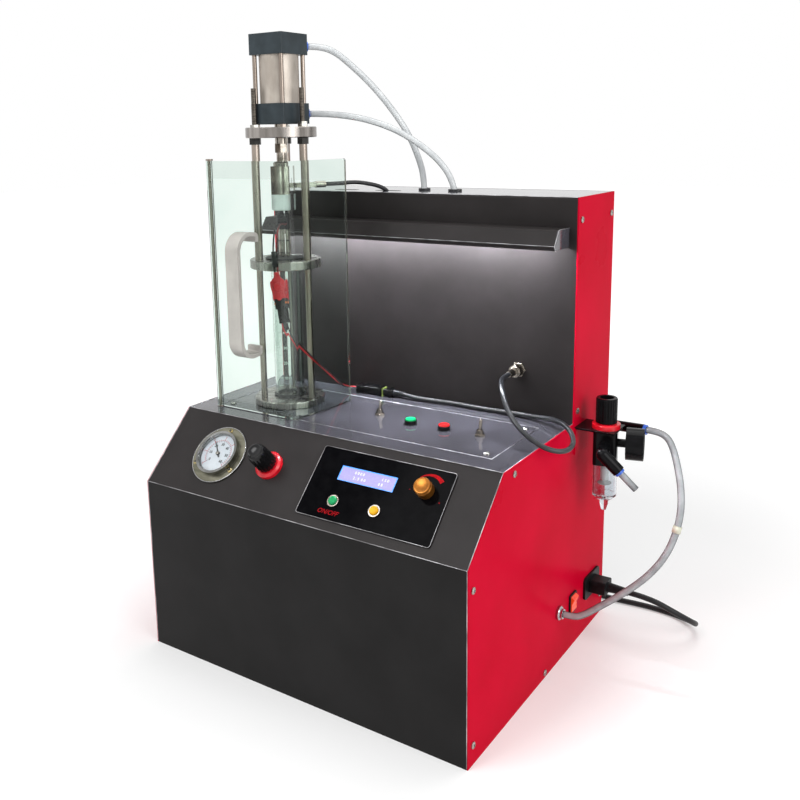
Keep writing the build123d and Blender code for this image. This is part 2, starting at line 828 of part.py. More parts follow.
def grommet_pegs(grow, start, end):
    """Pegs through the column's top round each air hose, grown by a wall."""
    pegs = []
    for route in (upper_air_route(), lower_air_route()):
        for upper, lower in zip(route, route[1:]):
            above = Vector(upper)
            run = Vector(lower) - above
            if above.Z >= COLUMN_HEIGHT > above.Z + run.Z:
                share = (COLUMN_HEIGHT - above.Z) / run.Z
                middle = above + run * share
                slant = math.hypot(run.X, run.Y) / abs(run.Z)
                width = 2 * (AIR_HOSE_RADIUS + FIXED_GAP)
                length = width * math.hypot(1, slant) + 2 * GROMMET_DEPTH * slant + GROMMET_SLACK
                azimuth = math.degrees(math.atan2(run.Y, run.X))
                peg = obround(
                    middle.X, middle.Y, azimuth, length + 2 * grow, width + 2 * grow, start, end
                )
                pegs.append(peg)
    return pegs


def slot_pegs(start, end):
    """Pegs for the two open slots in the column's top."""
    return [
        obround(x - HALF_WIDTH, HALF_DEPTH - SLOT_SETBACK, 0, SLOT_LENGTH, SLOT_WIDTH, start, end)
        for x in (SPARE_SLOT_X, FUEL_SLOT_X)
    ]


def screw_places():
    """Places of the cabinet screws: both sides, then the inset plate's corners."""
    places = [side_place(y, z, side) for side in (-1, 1) for y, z in SIDE_SCREWS]
    for x in (PLATE_LEFT + PLATE_SCREW_INSET, PLATE_RIGHT - PLATE_SCREW_INSET):
        for y in (PLATE_FRONT + PLATE_SCREW_INSET, PLATE_BACK - PLATE_SCREW_INSET):
            places.append(Pos(x - HALF_WIDTH, y - HALF_DEPTH, DECK_HEIGHT))
    return places


def screw_holes():
    """Clearance holes for every cabinet screw."""
    radius = SCREW_SHANK_RADIUS + FIXED_GAP
    return [bar(place, radius, -SCREW_LENGTH - OVERRUN, OVERRUN) for place in screw_places()]


def cover_screws():
    """Domed screws of the side panels and of the inset plate."""
    crown = SCREW_HEAD_HEIGHT / 2
    outline = [
        (0, -SCREW_LENGTH),
        (SCREW_SHANK_RADIUS, -SCREW_LENGTH),
        (SCREW_SHANK_RADIUS, 0),
        (SCREW_HEAD_RADIUS, 0),
        (SCREW_HEAD_RADIUS, crown),
        (SCREW_HEAD_RADIUS / 2, SCREW_HEAD_HEIGHT),
        (0, SCREW_HEAD_HEIGHT),
    ]
    return [turned(place, outline) for place in screw_places()]


def base_pan():
    """Bottom tray with upturned flanges."""
    reach = HALF_DEPTH - SHEET
    tray = block((-INNER, -reach, 0), (INNER, reach, SHEET + PAN_FLANGE))
    hollow = block(
        (-INNER + SHEET, -reach + SHEET, SHEET),
        (INNER - SHEET, reach - SHEET, SHEET + PAN_FLANGE + OVERRUN),
    )
    return tray - hollow - screw_holes()


def plate_opening(grow, start, end):
    """Block over the inset plate's outline, grown or shrunk all round."""
    return block(
        (PLATE_LEFT - HALF_WIDTH - grow, PLATE_FRONT - HALF_DEPTH - grow, start),
        (PLATE_RIGHT - HALF_WIDTH + grow, PLATE_BACK - HALF_DEPTH + grow, end),
    )


def front_shell():
    """Front, slope and deck, folded from one sheet, with a ledge for the inset plate."""
    corners = [
        (-HALF_DEPTH, 0),
        (-HALF_DEPTH, FRONT_HEIGHT),
        (-HALF_DEPTH + SLOPE_RUN, DECK_HEIGHT),
        (COLUMN_FRONT, DECK_HEIGHT),
        (COLUMN_FRONT, DECK_HEIGHT - COLUMN_LAP),
    ]
    shell = folded(corners, -INNER, INNER)
    flange_floor = SHEET + PAN_FLANGE + RUNNING_GAP
    flange_route = [(-HALF_DEPTH, flange_floor)] + corners[1:4]
    for side in (-1, 1):
        edges = sorted((side * INNER, side * (INNER - SHEET)))
        shell = shell + folded(flange_route, edges[0], edges[1], SHEET, FLANGE)
    ledge_top = DECK_HEIGHT - SHEET
    ledge = plate_opening(LEDGE, ledge_top - SHEET, ledge_top)
    shell = shell + ledge
    shell = shell - plate_opening(-LEDGE, ledge_top - SHEET - OVERRUN, ledge_top + OVERRUN)
    shell = shell - plate_opening(PLATE_GAP, ledge_top, DECK_HEIGHT + OVERRUN)
    shell = shell - slab(
        SLOPE,
        (PANEL_LEFT + PANEL_REST, PANEL_LOW + PANEL_REST),
        (PANEL_RIGHT - PANEL_REST, PANEL_HIGH - PANEL_REST),
        -SHEET - OVERRUN,
        OVERRUN,
    )
    shell = shell - bar(GAUGE_PLACE, GAUGE_CASE_RADIUS + FIXED_GAP, -SHEET - OVERRUN, OVERRUN)
    neck_hole = REGULATOR_NECK_RADIUS + FIXED_GAP
    shell = shell - bar(REGULATOR_PLACE, neck_hole, -SHEET - OVERRUN, OVERRUN)
    shell = shell - bar(guard_pin_place(), HINGE_PIN_RADIUS + FIXED_GAP, -OVERRUN, OVERRUN)
    return shell - screw_holes()


def guard_pin_place():
    """Foot of the guard's hinge pin, on the deck."""
    return Pos(GUARD_PIN_X - HALF_WIDTH, GUARD_PIN_Y - HALF_DEPTH, DECK_HEIGHT)


def column_shell():
    """Column front and top, folded from one sheet, slotted for the hoses."""
    back = HALF_DEPTH - SHEET
    corners = [
        (COLUMN_FRONT, DECK_HEIGHT - COLUMN_LAP),
        (COLUMN_FRONT, COLUMN_HEIGHT),
        (back, COLUMN_HEIGHT),
        (back, COLUMN_HEIGHT - FLANGE),
    ]
    shell = folded(corners, -INNER, INNER)
    shell = shell - block(
        (-HALF_WIDTH, back - OVERRUN, COLUMN_HEIGHT - FLANGE - OVERRUN),
        (-INNER + FLANGE, HALF_DEPTH, COLUMN_HEIGHT - FOLD_RADIUS),
    )
    shell = shell - block(
        (INNER - FLANGE, back - OVERRUN, COLUMN_HEIGHT - FLANGE - OVERRUN),
        (HALF_WIDTH, HALF_DEPTH, COLUMN_HEIGHT - FOLD_RADIUS),
    )
    flange_route = [(COLUMN_FRONT, DECK_HEIGHT), corners[1], (back - FLANGE - SHEET, COLUMN_HEIGHT)]
    for side in (-1, 1):
        edges = sorted((side * INNER, side * (INNER - SHEET)))
        shell = shell + folded(flange_route, edges[0], edges[1], SHEET, FLANGE)
    shell = shell - grommet_pegs(GROMMET_WALL, COLUMN_HEIGHT - SHEET - OVERRUN, COLUMN_HEIGHT + OVERRUN)
    shell = shell - slot_pegs(COLUMN_HEIGHT - SHEET - OVERRUN, COLUMN_HEIGHT + OVERRUN)
    plug_hole = wall_place(WALL_PLUG_X, WALL_PLUG_Z)
    shell = shell - bar(plug_hole, WALL_RING_RADIUS, -SHEET - OVERRUN, OVERRUN)
    return shell - screw_holes()


def side_panel(side):
    """Flat side panel with the cabinet's stepped outline."""
    outline = [
        (-HALF_DEPTH, 0),
        (-HALF_DEPTH, FRONT_HEIGHT),
        (-HALF_DEPTH + SLOPE_RUN, DECK_HEIGHT),
        (COLUMN_FRONT, DECK_HEIGHT),
        (COLUMN_FRONT, COLUMN_HEIGHT),
        (HALF_DEPTH, COLUMN_HEIGHT),
        (HALF_DEPTH, 0),
    ]
    low, high = sorted((side * INNER, side * HALF_WIDTH))
    panel = prism(outline, low, high) - screw_holes()
    if side > 0:
        inlet = side_place(INLET_Y, INLET_Z)
        panel = panel - slab_about(inlet, INLET_BODY_WIDTH, INLET_BODY_HEIGHT, FIXED_GAP, -OVERRUN, OVERRUN)
        rocker = side_place(ROCKER_Y, ROCKER_Z)
        rocker_body_height = 2 * (ROCKER_RADIUS + RUNNING_GAP + SHEET / 2)
        rocker_body_width = ROCKER_WIDTH + 2 * RUNNING_GAP + SHEET
        panel = panel - slab_about(
            rocker, rocker_body_width, rocker_body_height, FIXED_GAP, -OVERRUN, OVERRUN
        )
        panel = panel - bar(side_place(PORT_Y, PORT_Z), COLLET_RADIUS + FIXED_GAP, -OVERRUN, OVERRUN)
    return panel


def slab_about(place, width, height, grow, start, end, corner=0.0):
    """Plate centred on a place, grown all round."""
    half = (width / 2 + grow, height / 2 + grow)
    return slab(place, (-half[0], -half[1]), half, start, end, corner)


def rear_cover():
    """Flat rear cover with side returns and two groups of vent slots."""
    back = HALF_DEPTH - SHEET
    cover = block((-INNER, back, 0), (INNER, HALF_DEPTH, COLUMN_HEIGHT))
    low = SHEET + PAN_FLANGE + RUNNING_GAP
    high = COLUMN_HEIGHT - FLANGE - SHEET
    for side in (-1, 1):
        edges = sorted((side * INNER, side * (INNER - SHEET)))
        cover = cover + block((edges[0], back - FLANGE, low), (edges[1], back, high))
    half = (VENT_COUNT - 1) / 2
    for side in (-1, 1):
        for index in range(VENT_COUNT):
            height = VENT_HEIGHT + (index - half) * VENT_PITCH
            place = Plane(
                origin=(side * VENT_OFFSET, HALF_DEPTH, height), x_dir=(-1, 0, 0), z_dir=(0, 1, 0)
            ).location
            slot = Pos(0, 0, -SHEET - OVERRUN) * SlotOverall(VENT_LENGTH, VENT_WIDTH)
            cover = cover - place * extrude(slot, SHEET + OVERRUN * 2)
    return cover - screw_holes()


def deck_plate():
    """Inset plate that carries the tower and the deck's switches."""
    plate = plate_opening(0, DECK_HEIGHT - SHEET, DECK_HEIGHT)
    holes = [bar(DECK_PLACES[name], TOGGLE_NECK_RADIUS + FIXED_GAP, -SHEET - OVERRUN, OVERRUN)
             for name in ("toggle_left", "toggle_right")]
    holes += [bar(DECK_PLACES[name], DECK_BARREL_RADIUS + FIXED_GAP, -SHEET - OVERRUN, OVERRUN)
              for name in ("green", "red")]
    return plate - holes - screw_holes()


def control_panel():
    """Gloss panel over the slope's opening, holed for display, buttons and knob."""
    panel = slab(SLOPE, (PANEL_LEFT, PANEL_LOW), (PANEL_RIGHT, PANEL_HIGH), 0, PANEL_THICKNESS, PANEL_CORNER)
    window = slab(
        SLOPE, (DISPLAY_LEFT, DISPLAY_LOW), (DISPLAY_RIGHT, DISPLAY_HIGH), -OVERRUN, PANEL_THICKNESS + OVERRUN
    )
    through = -PANEL_THICKNESS - OVERRUN
    holes = [bar(PANEL_PLACES[name], PUSH_BARREL_RADIUS + FIXED_GAP, through, OVERRUN)
             for name in ("on_off", "count")]
    holes.append(bar(PANEL_PLACES["speed"], BUSHING_RADIUS + FIXED_GAP, through, OVERRUN))
    return panel - window - holes


def display_module():
    """Two-line display: glass in the window, rim and board behind the panel."""
    glass_low = (DISPLAY_LEFT + FIXED_GAP, DISPLAY_LOW + FIXED_GAP)
    glass_high = (DISPLAY_RIGHT - FIXED_GAP, DISPLAY_HIGH - FIXED_GAP)
    glass = slab(SLOPE, glass_low, glass_high, -DISPLAY_BODY, PANEL_THICKNESS - DISPLAY_RECESS)
    rim = slab(
        SLOPE,
        (DISPLAY_LEFT - DISPLAY_RIM, DISPLAY_LOW - DISPLAY_RIM),
        (DISPLAY_RIGHT + DISPLAY_RIM, DISPLAY_HIGH + DISPLAY_RIM),
        -DISPLAY_BODY,
        0,
    )
    reach = DISPLAY_RIM + BOARD_RIM
    board = slab(
        SLOPE,
        (DISPLAY_LEFT - reach, DISPLAY_LOW - reach),
        (DISPLAY_RIGHT + reach, DISPLAY_HIGH + reach),
        -DISPLAY_BODY - DISPLAY_BOARD,
        -DISPLAY_BODY,
    )
    return glass + rim + board


def speed_knob():
    """Ribbed knob with a hollow underside, on its shaft."""
    place = PANEL_PLACES["speed"]
    top = KNOB_LIFT + KNOB_HEIGHT
    grip = ribbed(place, KNOB_RADIUS, KNOB_RIB_DEPTH, KNOB_RIBS, KNOB_LIFT, top - KNOB_CHAMFER)
    crown = turned(
        place,
        [
            (0, top - KNOB_CHAMFER),
            (KNOB_RADIUS - KNOB_RIB_DEPTH, top - KNOB_CHAMFER),
            (KNOB_RADIUS - KNOB_RIB_DEPTH - KNOB_CHAMFER, top),
            (0, top),
        ],
    )
    hollow_top = BUSHING_HEIGHT + RUNNING_GAP
    hollow = bar(place, BUSHING_RADIUS + RUNNING_GAP, -OVERRUN, hollow_top)
    shaft_bottom = -PANEL_THICKNESS - POT_DEPTH / 2 + RUNNING_GAP
    shaft = bar(place, SHAFT_RADIUS, shaft_bottom, hollow_top + KNOB_CHAMFER)
    return grip + crown - hollow + shaft


def push_cap(place, radius, proud, depth):
    """Domed push cap that sits in its barrel."""
    dome = proud / 4
    outline = [(0, -depth), (radius, -depth), (radius, proud - dome), (radius - dome, proud), (0, proud)]
    return turned(place, outline)


def push_body(place, bezel, bezel_height, barrel, depth, cap, cap_depth, travel):
    """Bezel and barrel of a push button, bored for its cap."""
    outline = [
        (cap + RUNNING_GAP, bezel_height),
        (bezel, bezel_height),
        (bezel, 0),
        (barrel, 0),
        (barrel, -depth),
        (0, -depth),
        (0, -cap_depth - travel - RUNNING_GAP),
        (cap + RUNNING_GAP, -cap_depth - travel - RUNNING_GAP),
    ]
    return turned(place, outline)


def on_off_button():
    """Green cap on the panel."""
    return push_cap(PANEL_PLACES["on_off"], PUSH_CAP_RADIUS, PUSH_BEZEL_HEIGHT + PUSH_CAP_PROUD, PUSH_CAP_DEPTH)


def count_button():
    """Yellow cap on the panel."""
    return push_cap(PANEL_PLACES["count"], PUSH_CAP_RADIUS, PUSH_BEZEL_HEIGHT + PUSH_CAP_PROUD, PUSH_CAP_DEPTH)


def deck_button(name):
    """Coloured cap on the deck."""
    proud = DECK_BEZEL_HEIGHT + DECK_CAP_PROUD
    return push_cap(DECK_PLACES[name], DECK_CAP_RADIUS, proud, PUSH_CAP_DEPTH)


def toggle_body(name):
    """Toggle switch: nut and neck above the plate, body below."""
    place = DECK_PLACES[name]
    nut = hexagon(place, TOGGLE_NUT_FLATS, 0, TOGGLE_NUT_HEIGHT)
    neck = bar(place, TOGGLE_NECK_RADIUS, -SHEET, TOGGLE_NECK_HEIGHT)
    body = slab_about(place, TOGGLE_BODY, TOGGLE_BODY, 0, -SHEET - TOGGLE_BODY_DEPTH, -SHEET)
    socket = TOGGLE_BALL_RADIUS + RUNNING_GAP
    pocket_floor = TOGGLE_NECK_HEIGHT - 2 * socket
    return nut + neck + body - bar(place, socket, pocket_floor, TOGGLE_NECK_HEIGHT + OVERRUN)


def toggle_pivot(name):
    """Place of a toggle's ball, tilted as the lever rests."""
    height = TOGGLE_NECK_HEIGHT - TOGGLE_BALL_RADIUS - RUNNING_GAP
    return DECK_PLACES[name] * Pos(0, 0, height) * Rot(-TOGGLE_TILT, 0, 0)


def toggle_lever(name):
    """Bat lever on a ball."""
    place = toggle_pivot(name)
    tip = TOGGLE_LEVER_LENGTH
    outline = [
        (0, 0),
        (TOGGLE_ROOT_RADIUS, 0),
        (TOGGLE_TIP_RADIUS, tip - TOGGLE_TIP_RADIUS / 2),
        (TOGGLE_TIP_RADIUS / 2, tip),
        (0, tip),
    ]
    return turned(place, outline) + place * Sphere(TOGGLE_BALL_RADIUS)


def potentiometer():
    """Body and bushing behind the speed knob."""
    place = PANEL_PLACES["speed"]
    body = bar(place, POT_RADIUS, -PANEL_THICKNESS - POT_DEPTH, -PANEL_THICKNESS)
    bushing = bar(place, BUSHING_RADIUS, -PANEL_THICKNESS, BUSHING_HEIGHT)
    bore = bar(place, SHAFT_RADIUS + RUNNING_GAP, -PANEL_THICKNESS - POT_DEPTH / 2, BUSHING_HEIGHT + OVERRUN)
    return body + bushing - bore


def switch_bodies():
    """Fixed halves of the buttons, the toggles and the speed control."""
    bodies = []
    for name in ("on_off", "count"):
        bodies.append(
            push_body(
                PANEL_PLACES[name],
                PUSH_BEZEL_RADIUS,
                PUSH_BEZEL_HEIGHT,
                PUSH_BARREL_RADIUS,
                PUSH_BARREL_DEPTH,
                PUSH_CAP_RADIUS,
                PUSH_CAP_DEPTH,
                PUSH_TRAVEL,
            )
        )
    for name in ("green", "red"):
        bodies.append(
            push_body(
                DECK_PLACES[name],
                DECK_BEZEL_RADIUS,
                DECK_BEZEL_HEIGHT,
                DECK_BARREL_RADIUS,
                DECK_BARREL_DEPTH,
                DECK_CAP_RADIUS,
                PUSH_CAP_DEPTH,
                DECK_TRAVEL,
            )
        )
    bodies += [toggle_body("toggle_left"), toggle_body("toggle_right"), potentiometer()]
    return bodies


def gauge_case():
    """Flanged case with its bezel, dial floor and rear stem."""
    outline = [
        (0, -GAUGE_CASE_DEPTH - GAUGE_STEM),
        (GAUGE_STEM_RADIUS, -GAUGE_CASE_DEPTH - GAUGE_STEM),
        (GAUGE_STEM_RADIUS, -GAUGE_CASE_DEPTH),
        (GAUGE_CASE_RADIUS, -GAUGE_CASE_DEPTH),
        (GAUGE_CASE_RADIUS, 0),
        (GAUGE_FLANGE_RADIUS, 0),
        (GAUGE_FLANGE_RADIUS, GAUGE_FLANGE),
        (GAUGE_BEZEL_RADIUS, GAUGE_FLANGE),
        (GAUGE_BEZEL_RADIUS, GAUGE_BEZEL_HEIGHT),
        (GAUGE_GLASS_RADIUS + FIXED_GAP, GAUGE_BEZEL_HEIGHT),
        (GAUGE_GLASS_RADIUS + FIXED_GAP, GAUGE_GLASS_SEAT),
        (GAUGE_DIAL_RADIUS, GAUGE_GLASS_SEAT),
        (GAUGE_DIAL_RADIUS, GAUGE_DIAL_LIFT),
        (0, GAUGE_DIAL_LIFT),
    ]
    return turned(GAUGE_PLACE, outline)


def gauge_glass():
    """Flat glass on the bezel's step."""
    return bar(GAUGE_PLACE, GAUGE_GLASS_RADIUS, GAUGE_GLASS_SEAT, GAUGE_GLASS_SEAT + GAUGE_GLASS)


def pointer(place, lift, hub_radius, hub_height, length, tail, azimuth):
    """Tapered pointer on a hub."""
    hub = bar(place, hub_radius, lift, lift + hub_height)
    half = NEEDLE_WIDTH / 2
    tip = half / 4
    points = [(-tail, -half), (0, -half), (length, -tip), (length, tip), (0, half), (-tail, half)]
    face = Pos(0, 0, lift + hub_height / 3) * make_face(Polyline(*points, close=True).edges())
    return hub + place * Rot(0, 0, azimuth) * extrude(face, NEEDLE_THICKNESS)


def gauge_needle():
    """Pointer, resting at a third of the dial, the reading that it is drawn at."""
    lift = GAUGE_DIAL_LIFT + RUNNING_GAP
    return pointer(
        GAUGE_PLACE,
        lift,
        NEEDLE_HUB_RADIUS,
        NEEDLE_HUB_HEIGHT,
        NEEDLE_LENGTH,
        NEEDLE_TAIL,
        GAUGE_ZERO_ANGLE - GAUGE_READING_ANGLE,
    )


def regulator_body():
    """Valve body behind the slope, its neck and its ring nut in front."""
    outline = [
        (0, -SHEET - RUNNING_GAP),
        (REGULATOR_NECK_RADIUS, -SHEET - RUNNING_GAP),
        (REGULATOR_NECK_RADIUS, 0),
        (REGULATOR_NUT_RADIUS, 0),
        (REGULATOR_NUT_RADIUS, REGULATOR_NUT * 0.6),
        (REGULATOR_NUT_RADIUS * 0.85, REGULATOR_NUT),
        (REGULATOR_NECK_RADIUS, REGULATOR_NUT),
        (REGULATOR_NECK_RADIUS, REGULATOR_NECK),
        (0, REGULATOR_NECK),
    ]
    neck = turned(REGULATOR_PLACE, outline)
    top = -SHEET
    body = slab_about(
        REGULATOR_PLACE, REGULATOR_BODY, REGULATOR_BODY, 0, top - REGULATOR_BODY_DEPTH, top, FOLD_RADIUS
    )
    reach = REGULATOR_BODY / 2 + REGULATOR_PORT
    ports = REGULATOR_PLACE * Pos(0, 0, top - REGULATOR_BODY_DEPTH / 2) * Rot(0, 90, 0)
    return neck + body + bar(ports, REGULATOR_PORT_RADIUS, -reach, reach)


def regulator_knob():
    """Ribbed knob over the regulator's neck, narrower towards its tip."""
    start = REGULATOR_NUT + 1.5 * RUNNING_GAP
    grip_top = start + (REGULATOR_KNOB_TOP - start) * 0.45
    grip = ribbed(REGULATOR_PLACE, REGULATOR_KNOB_RADIUS, KNOB_RIB_DEPTH, REGULATOR_KNOB_RIBS, start, grip_top)
    shoulder = REGULATOR_KNOB_RADIUS - KNOB_RIB_DEPTH
    crown = turned(
        REGULATOR_PLACE,
        [
            (0, grip_top),
            (shoulder, grip_top),
            (REGULATOR_KNOB_TIP_RADIUS, REGULATOR_KNOB_TOP - KNOB_CHAMFER * 2),
            (REGULATOR_KNOB_TIP_RADIUS - KNOB_CHAMFER * 2, REGULATOR_KNOB_TOP),
            (0, REGULATOR_KNOB_TOP),
        ],
    )
    bore = REGULATOR_NECK_RADIUS + RUNNING_GAP
    return grip + crown - bar(REGULATOR_PLACE, bore, 0, REGULATOR_NECK + RUNNING_GAP)


def rod_places():
    """Places of the tower's rods round its axis."""
    step = 360.0 / ROD_COUNT
    return [TOWER * Rot(0, 0, index * step) * Pos(ROD_CIRCLE, 0, 0) for index in range(ROD_COUNT)]


def rod_holes(radius, start, end):
    """Holes for the rods through a disc."""
    return [bar(place, radius + FIXED_GAP, start - OVERRUN, end + OVERRUN) for place in rod_places()]


def disc(bottom, thickness, bore):
    """Chamfered disc of the tower, bored in the middle."""
    top = bottom + thickness
    inner = [(bore, bottom)] if bore else [(0, bottom)]
    inner_top = [(bore, top)] if bore else [(0, top)]
    outline = inner + [
        (DISC_RADIUS - DISC_CHAMFER, bottom),
        (DISC_RADIUS, bottom + DISC_CHAMFER),
        (DISC_RADIUS, top - DISC_CHAMFER),
        (DISC_RADIUS - DISC_CHAMFER, top),
    ]
    return turned(TOWER, outline + inner_top)


def base_disc():
    """Steel disc on the deck, under the glass cylinder."""
    return disc(DECK_HEIGHT, BASE_DISC, 0)


def middle_ring():
    """Steel ring that holds the injector's seat."""
    return disc(RING_BOTTOM, RING_THICKNESS, RING_BORE_RADIUS) - rod_holes(STUD_RADIUS, RING_BOTTOM, RING_TOP)


def top_plate():
    """Steel plate that carries the air cylinder."""
    plate = disc(TOP_PLATE_BOTTOM, TOP_PLATE, TOP_BORE_RADIUS)
    return plate - rod_holes(STUD_RADIUS, TOP_PLATE_BOTTOM, TOP_PLATE_TOP)


def tower_rods():
    """Stepped rods from the base disc to above the top plate, with their nuts."""
    pieces = []
    nut_bottom = TOP_PLATE_BOTTOM - BLACK_NUT
    nuts = [(TOP_NUT_FLATS, TOP_NUT)] + [(THIN_NUT_FLATS, THIN_NUT)] * (ROD_COUNT - 1)
    for place, (flats, height) in zip(rod_places(), nuts):
        outline = [
            (0, BASE_TOP),
            (LOWER_ROD_RADIUS, BASE_TOP),
            (LOWER_ROD_RADIUS, RING_BOTTOM),
            (STUD_RADIUS, RING_BOTTOM),
            (STUD_RADIUS, RING_TOP),
            (UPPER_ROD_RADIUS, RING_TOP),
            (UPPER_ROD_RADIUS, nut_bottom),
            (STUD_RADIUS, nut_bottom),
            (STUD_RADIUS, STUD_TOP),
            (0, STUD_TOP),
        ]
        rod = turned(place, outline)
        rod = rod + hexagon(place, BLACK_NUT_FLATS, nut_bottom, TOP_PLATE_BOTTOM)
        pieces.append(rod + hexagon(place, flats, TOP_PLATE_TOP, TOP_PLATE_TOP + height))
    return pieces


def glass_cylinder():
    """Open glass tube between the base seal and the injector's seat."""
    return ring(TOWER, GLASS_RADIUS, GLASS_RADIUS - GLASS_WALL, BASE_TOP + BASE_SEAL, RING_BOTTOM)


def rubber_seals():
    """Seal under the glass, the injector's seat in the ring, and the hose grommets."""
    seal_bore = GLASS_RADIUS - GLASS_WALL - GROMMET_WALL
    pieces = [ring(TOWER, GLASS_RADIUS + GROMMET_WALL, seal_bore, BASE_TOP, BASE_TOP + BASE_SEAL)]
    seat_top = RING_BOTTOM + SEAT_THICKNESS
    seat = turned(
        TOWER,
        [
            (INJECTOR_TIP_RADIUS + FIXED_GAP, RING_BOTTOM),
            (RING_BORE_RADIUS - FIXED_GAP, RING_BOTTOM),
            (RING_BORE_RADIUS - FIXED_GAP, RING_TOP),
            (RING_BORE_RADIUS + SEAT_LIP, RING_TOP),
            (RING_BORE_RADIUS + SEAT_LIP, seat_top),
            (INJECTOR_TIP_RADIUS + FIXED_GAP, seat_top),
        ],
    )
    pieces.append(seat)
    low = COLUMN_HEIGHT - SHEET - GROMMET_LIP
    high = COLUMN_HEIGHT + GROMMET_LIP
    bores = grommet_pegs(0, low - OVERRUN, high + OVERRUN)
    walls = grommet_pegs(GROMMET_WALL - FIXED_GAP, low, high)
    under = grommet_pegs(GROMMET_WALL + GROMMET_RIM, low, COLUMN_HEIGHT - SHEET)
    over = grommet_pegs(GROMMET_WALL + GROMMET_RIM, COLUMN_HEIGHT, high)
    for bore, wall, below, above in zip(bores, walls, under, over):
        pieces.append(wall + below + above - bore)
    return pieces


def cap(bottom):
    """Square end cap with rounded corners and holes for the tie rods."""
    body = slab_about(TOWER, CAP_SIDE, CAP_SIDE, 0, bottom, bottom + CAP_HEIGHT, CAP_CORNER)
    return body - [
        bar(place, TIE_RADIUS + FIXED_GAP, bottom - OVERRUN, bottom + CAP_HEIGHT + OVERRUN)
        for place in tie_places()
    ]


def tie_places():
    """Places of the tie rods at the caps' corners."""
    signs = ((-1, -1), (1, -1), (1, 1), (-1, 1))
    return [TOWER * Pos(TIE_OFFSET * x, TIE_OFFSET * y, 0) for x, y in signs]


def port_place(z):
    """Place of an air port on a cap's rear face, facing back."""
    x = TOWER_X - HALF_WIDTH
    y = TOWER_Y - HALF_DEPTH + CAP_SIDE / 2
    return Plane(origin=(x, y, z), x_dir=(-1, 0, 0), z_dir=(0, 1, 0)).location


def fitting_outlet(z, turn):
    """Swivelled outlet of an air fitting, its Z axis along the outlet."""
    return port_place(z) * Pos(0, 0, FITTING_HEX + FITTING_BODY) * Rot(0, -turn, 0)


def push_fitting(z, turn):
    """Push-in hose fitting: hexagon, sleeve, swivelled outlet and collet."""
    place = port_place(z)
    outlet = fitting_outlet(z, turn)
    fitting = hexagon(place, FITTING_HEX_FLATS, 0, FITTING_HEX)
    fitting = fitting + bar(place, FITTING_BODY_RADIUS, FITTING_HEX, FITTING_HEX + FITTING_BODY)
    fitting = fitting + outlet * Sphere(FITTING_BODY_RADIUS)
    fitting = fitting + bar(outlet, FITTING_BODY_RADIUS, 0, FITTING_OUTLET)
    return fitting + bar(outlet, COLLET_RADIUS, FITTING_OUTLET, FITTING_OUTLET + COLLET)


def cylinder_caps():
    """Both end caps with their rear fittings."""
    rod_bore = PISTON_ROD_RADIUS + RUNNING_GAP
    lower = cap(LOWER_CAP) - bar(TOWER, rod_bore, LOWER_CAP - OVERRUN, BARREL_BOTTOM + OVERRUN)
    return [
        lower + push_fitting(HOSE_LOW, LOWER_FITTING_TURN),
        cap(BARREL_TOP) + push_fitting(HOSE_HIGH, UPPER_FITTING_TURN),
    ]


def cylinder_barrel():
    """Steel barrel between the caps."""
    return ring(TOWER, BARREL_RADIUS, BARREL_BORE_RADIUS, BARREL_BOTTOM, BARREL_TOP)


def tie_rods():
    """Tie rods with the nuts that stand the cylinder off its plate."""
    rods = []
    for place in tie_places():
        rod = bar(place, TIE_RADIUS, TOP_PLATE_TOP, UPPER_CAP_TOP - TIE_SINK)
        rods.append(rod + hexagon(place, TIE_NUT_FLATS, TOP_PLATE_TOP, LOWER_CAP))
    return rods


def piston_rod():
    """Piston and its rod, at the bottom of the stroke."""
    piston_bottom = BARREL_BOTTOM + PISTON_REST
    piston_top = piston_bottom + PISTON_THICKNESS
    rod = bar(TOWER, PISTON_ROD_RADIUS, ROD_NUT_TOP, piston_top)
    return rod + bar(TOWER, PISTON_RADIUS, piston_bottom, piston_top)


def arm_place():
    """Place of the clamp head's arm, its X axis along the arm."""
    return TOWER * Rot(0, 0, ARM_AZIMUTH) * Pos(0, 0, ARM_HEIGHT)


def clamp_head():
    """Coupling, hexagonal adapter and side arm with the fuel hose's ferrule."""
    nut_bottom = ROD_NUT_TOP - ROD_NUT
    head = hexagon(TOWER, ROD_NUT_FLATS, nut_bottom, ROD_NUT_TOP)
    head = head + bar(TOWER, STEM_RADIUS, STEM_BOTTOM, nut_bottom)
    head = head + turned(
        TOWER,
        [
            (0, COLLAR_WASHER_BOTTOM),
            (COLLAR_WASHER_RADIUS, COLLAR_WASHER_BOTTOM),
            (COLLAR_WASHER_RADIUS, STEM_BOTTOM - ADAPTER_CHAMFER),
            (COLLAR_WASHER_RADIUS - ADAPTER_CHAMFER, STEM_BOTTOM),
            (0, STEM_BOTTOM),
        ],
    )
    head = head + hexagon(TOWER, ADAPTER_FLATS, ADAPTER_BOTTOM, COLLAR_WASHER_BOTTOM)
    arm = arm_place()
    half = ARM_WIDTH / 2
    root = ADAPTER_FLATS / 2 - ARM_THICKNESS / 2
    head = head + slab(arm, (root, -half), (ARM_REACH, half), 0, ARM_THICKNESS, 0)
    bolt = arm * Pos(BOLT_OFFSET, 0, 0)
    head = head + hexagon(bolt, BOLT_FLATS, ARM_THICKNESS, ARM_THICKNESS + BOLT_HEAD)
    head = head + bar(bolt, BOLT_WASHER_RADIUS, -BOLT_WASHER, 0)
    ferrule = arm * Pos(ARM_REACH, 0, ARM_THICKNESS / 2) * Rot(0, 90, 0)
    return head + bar(ferrule, FERRULE_RADIUS, 0, FERRULE_LENGTH)


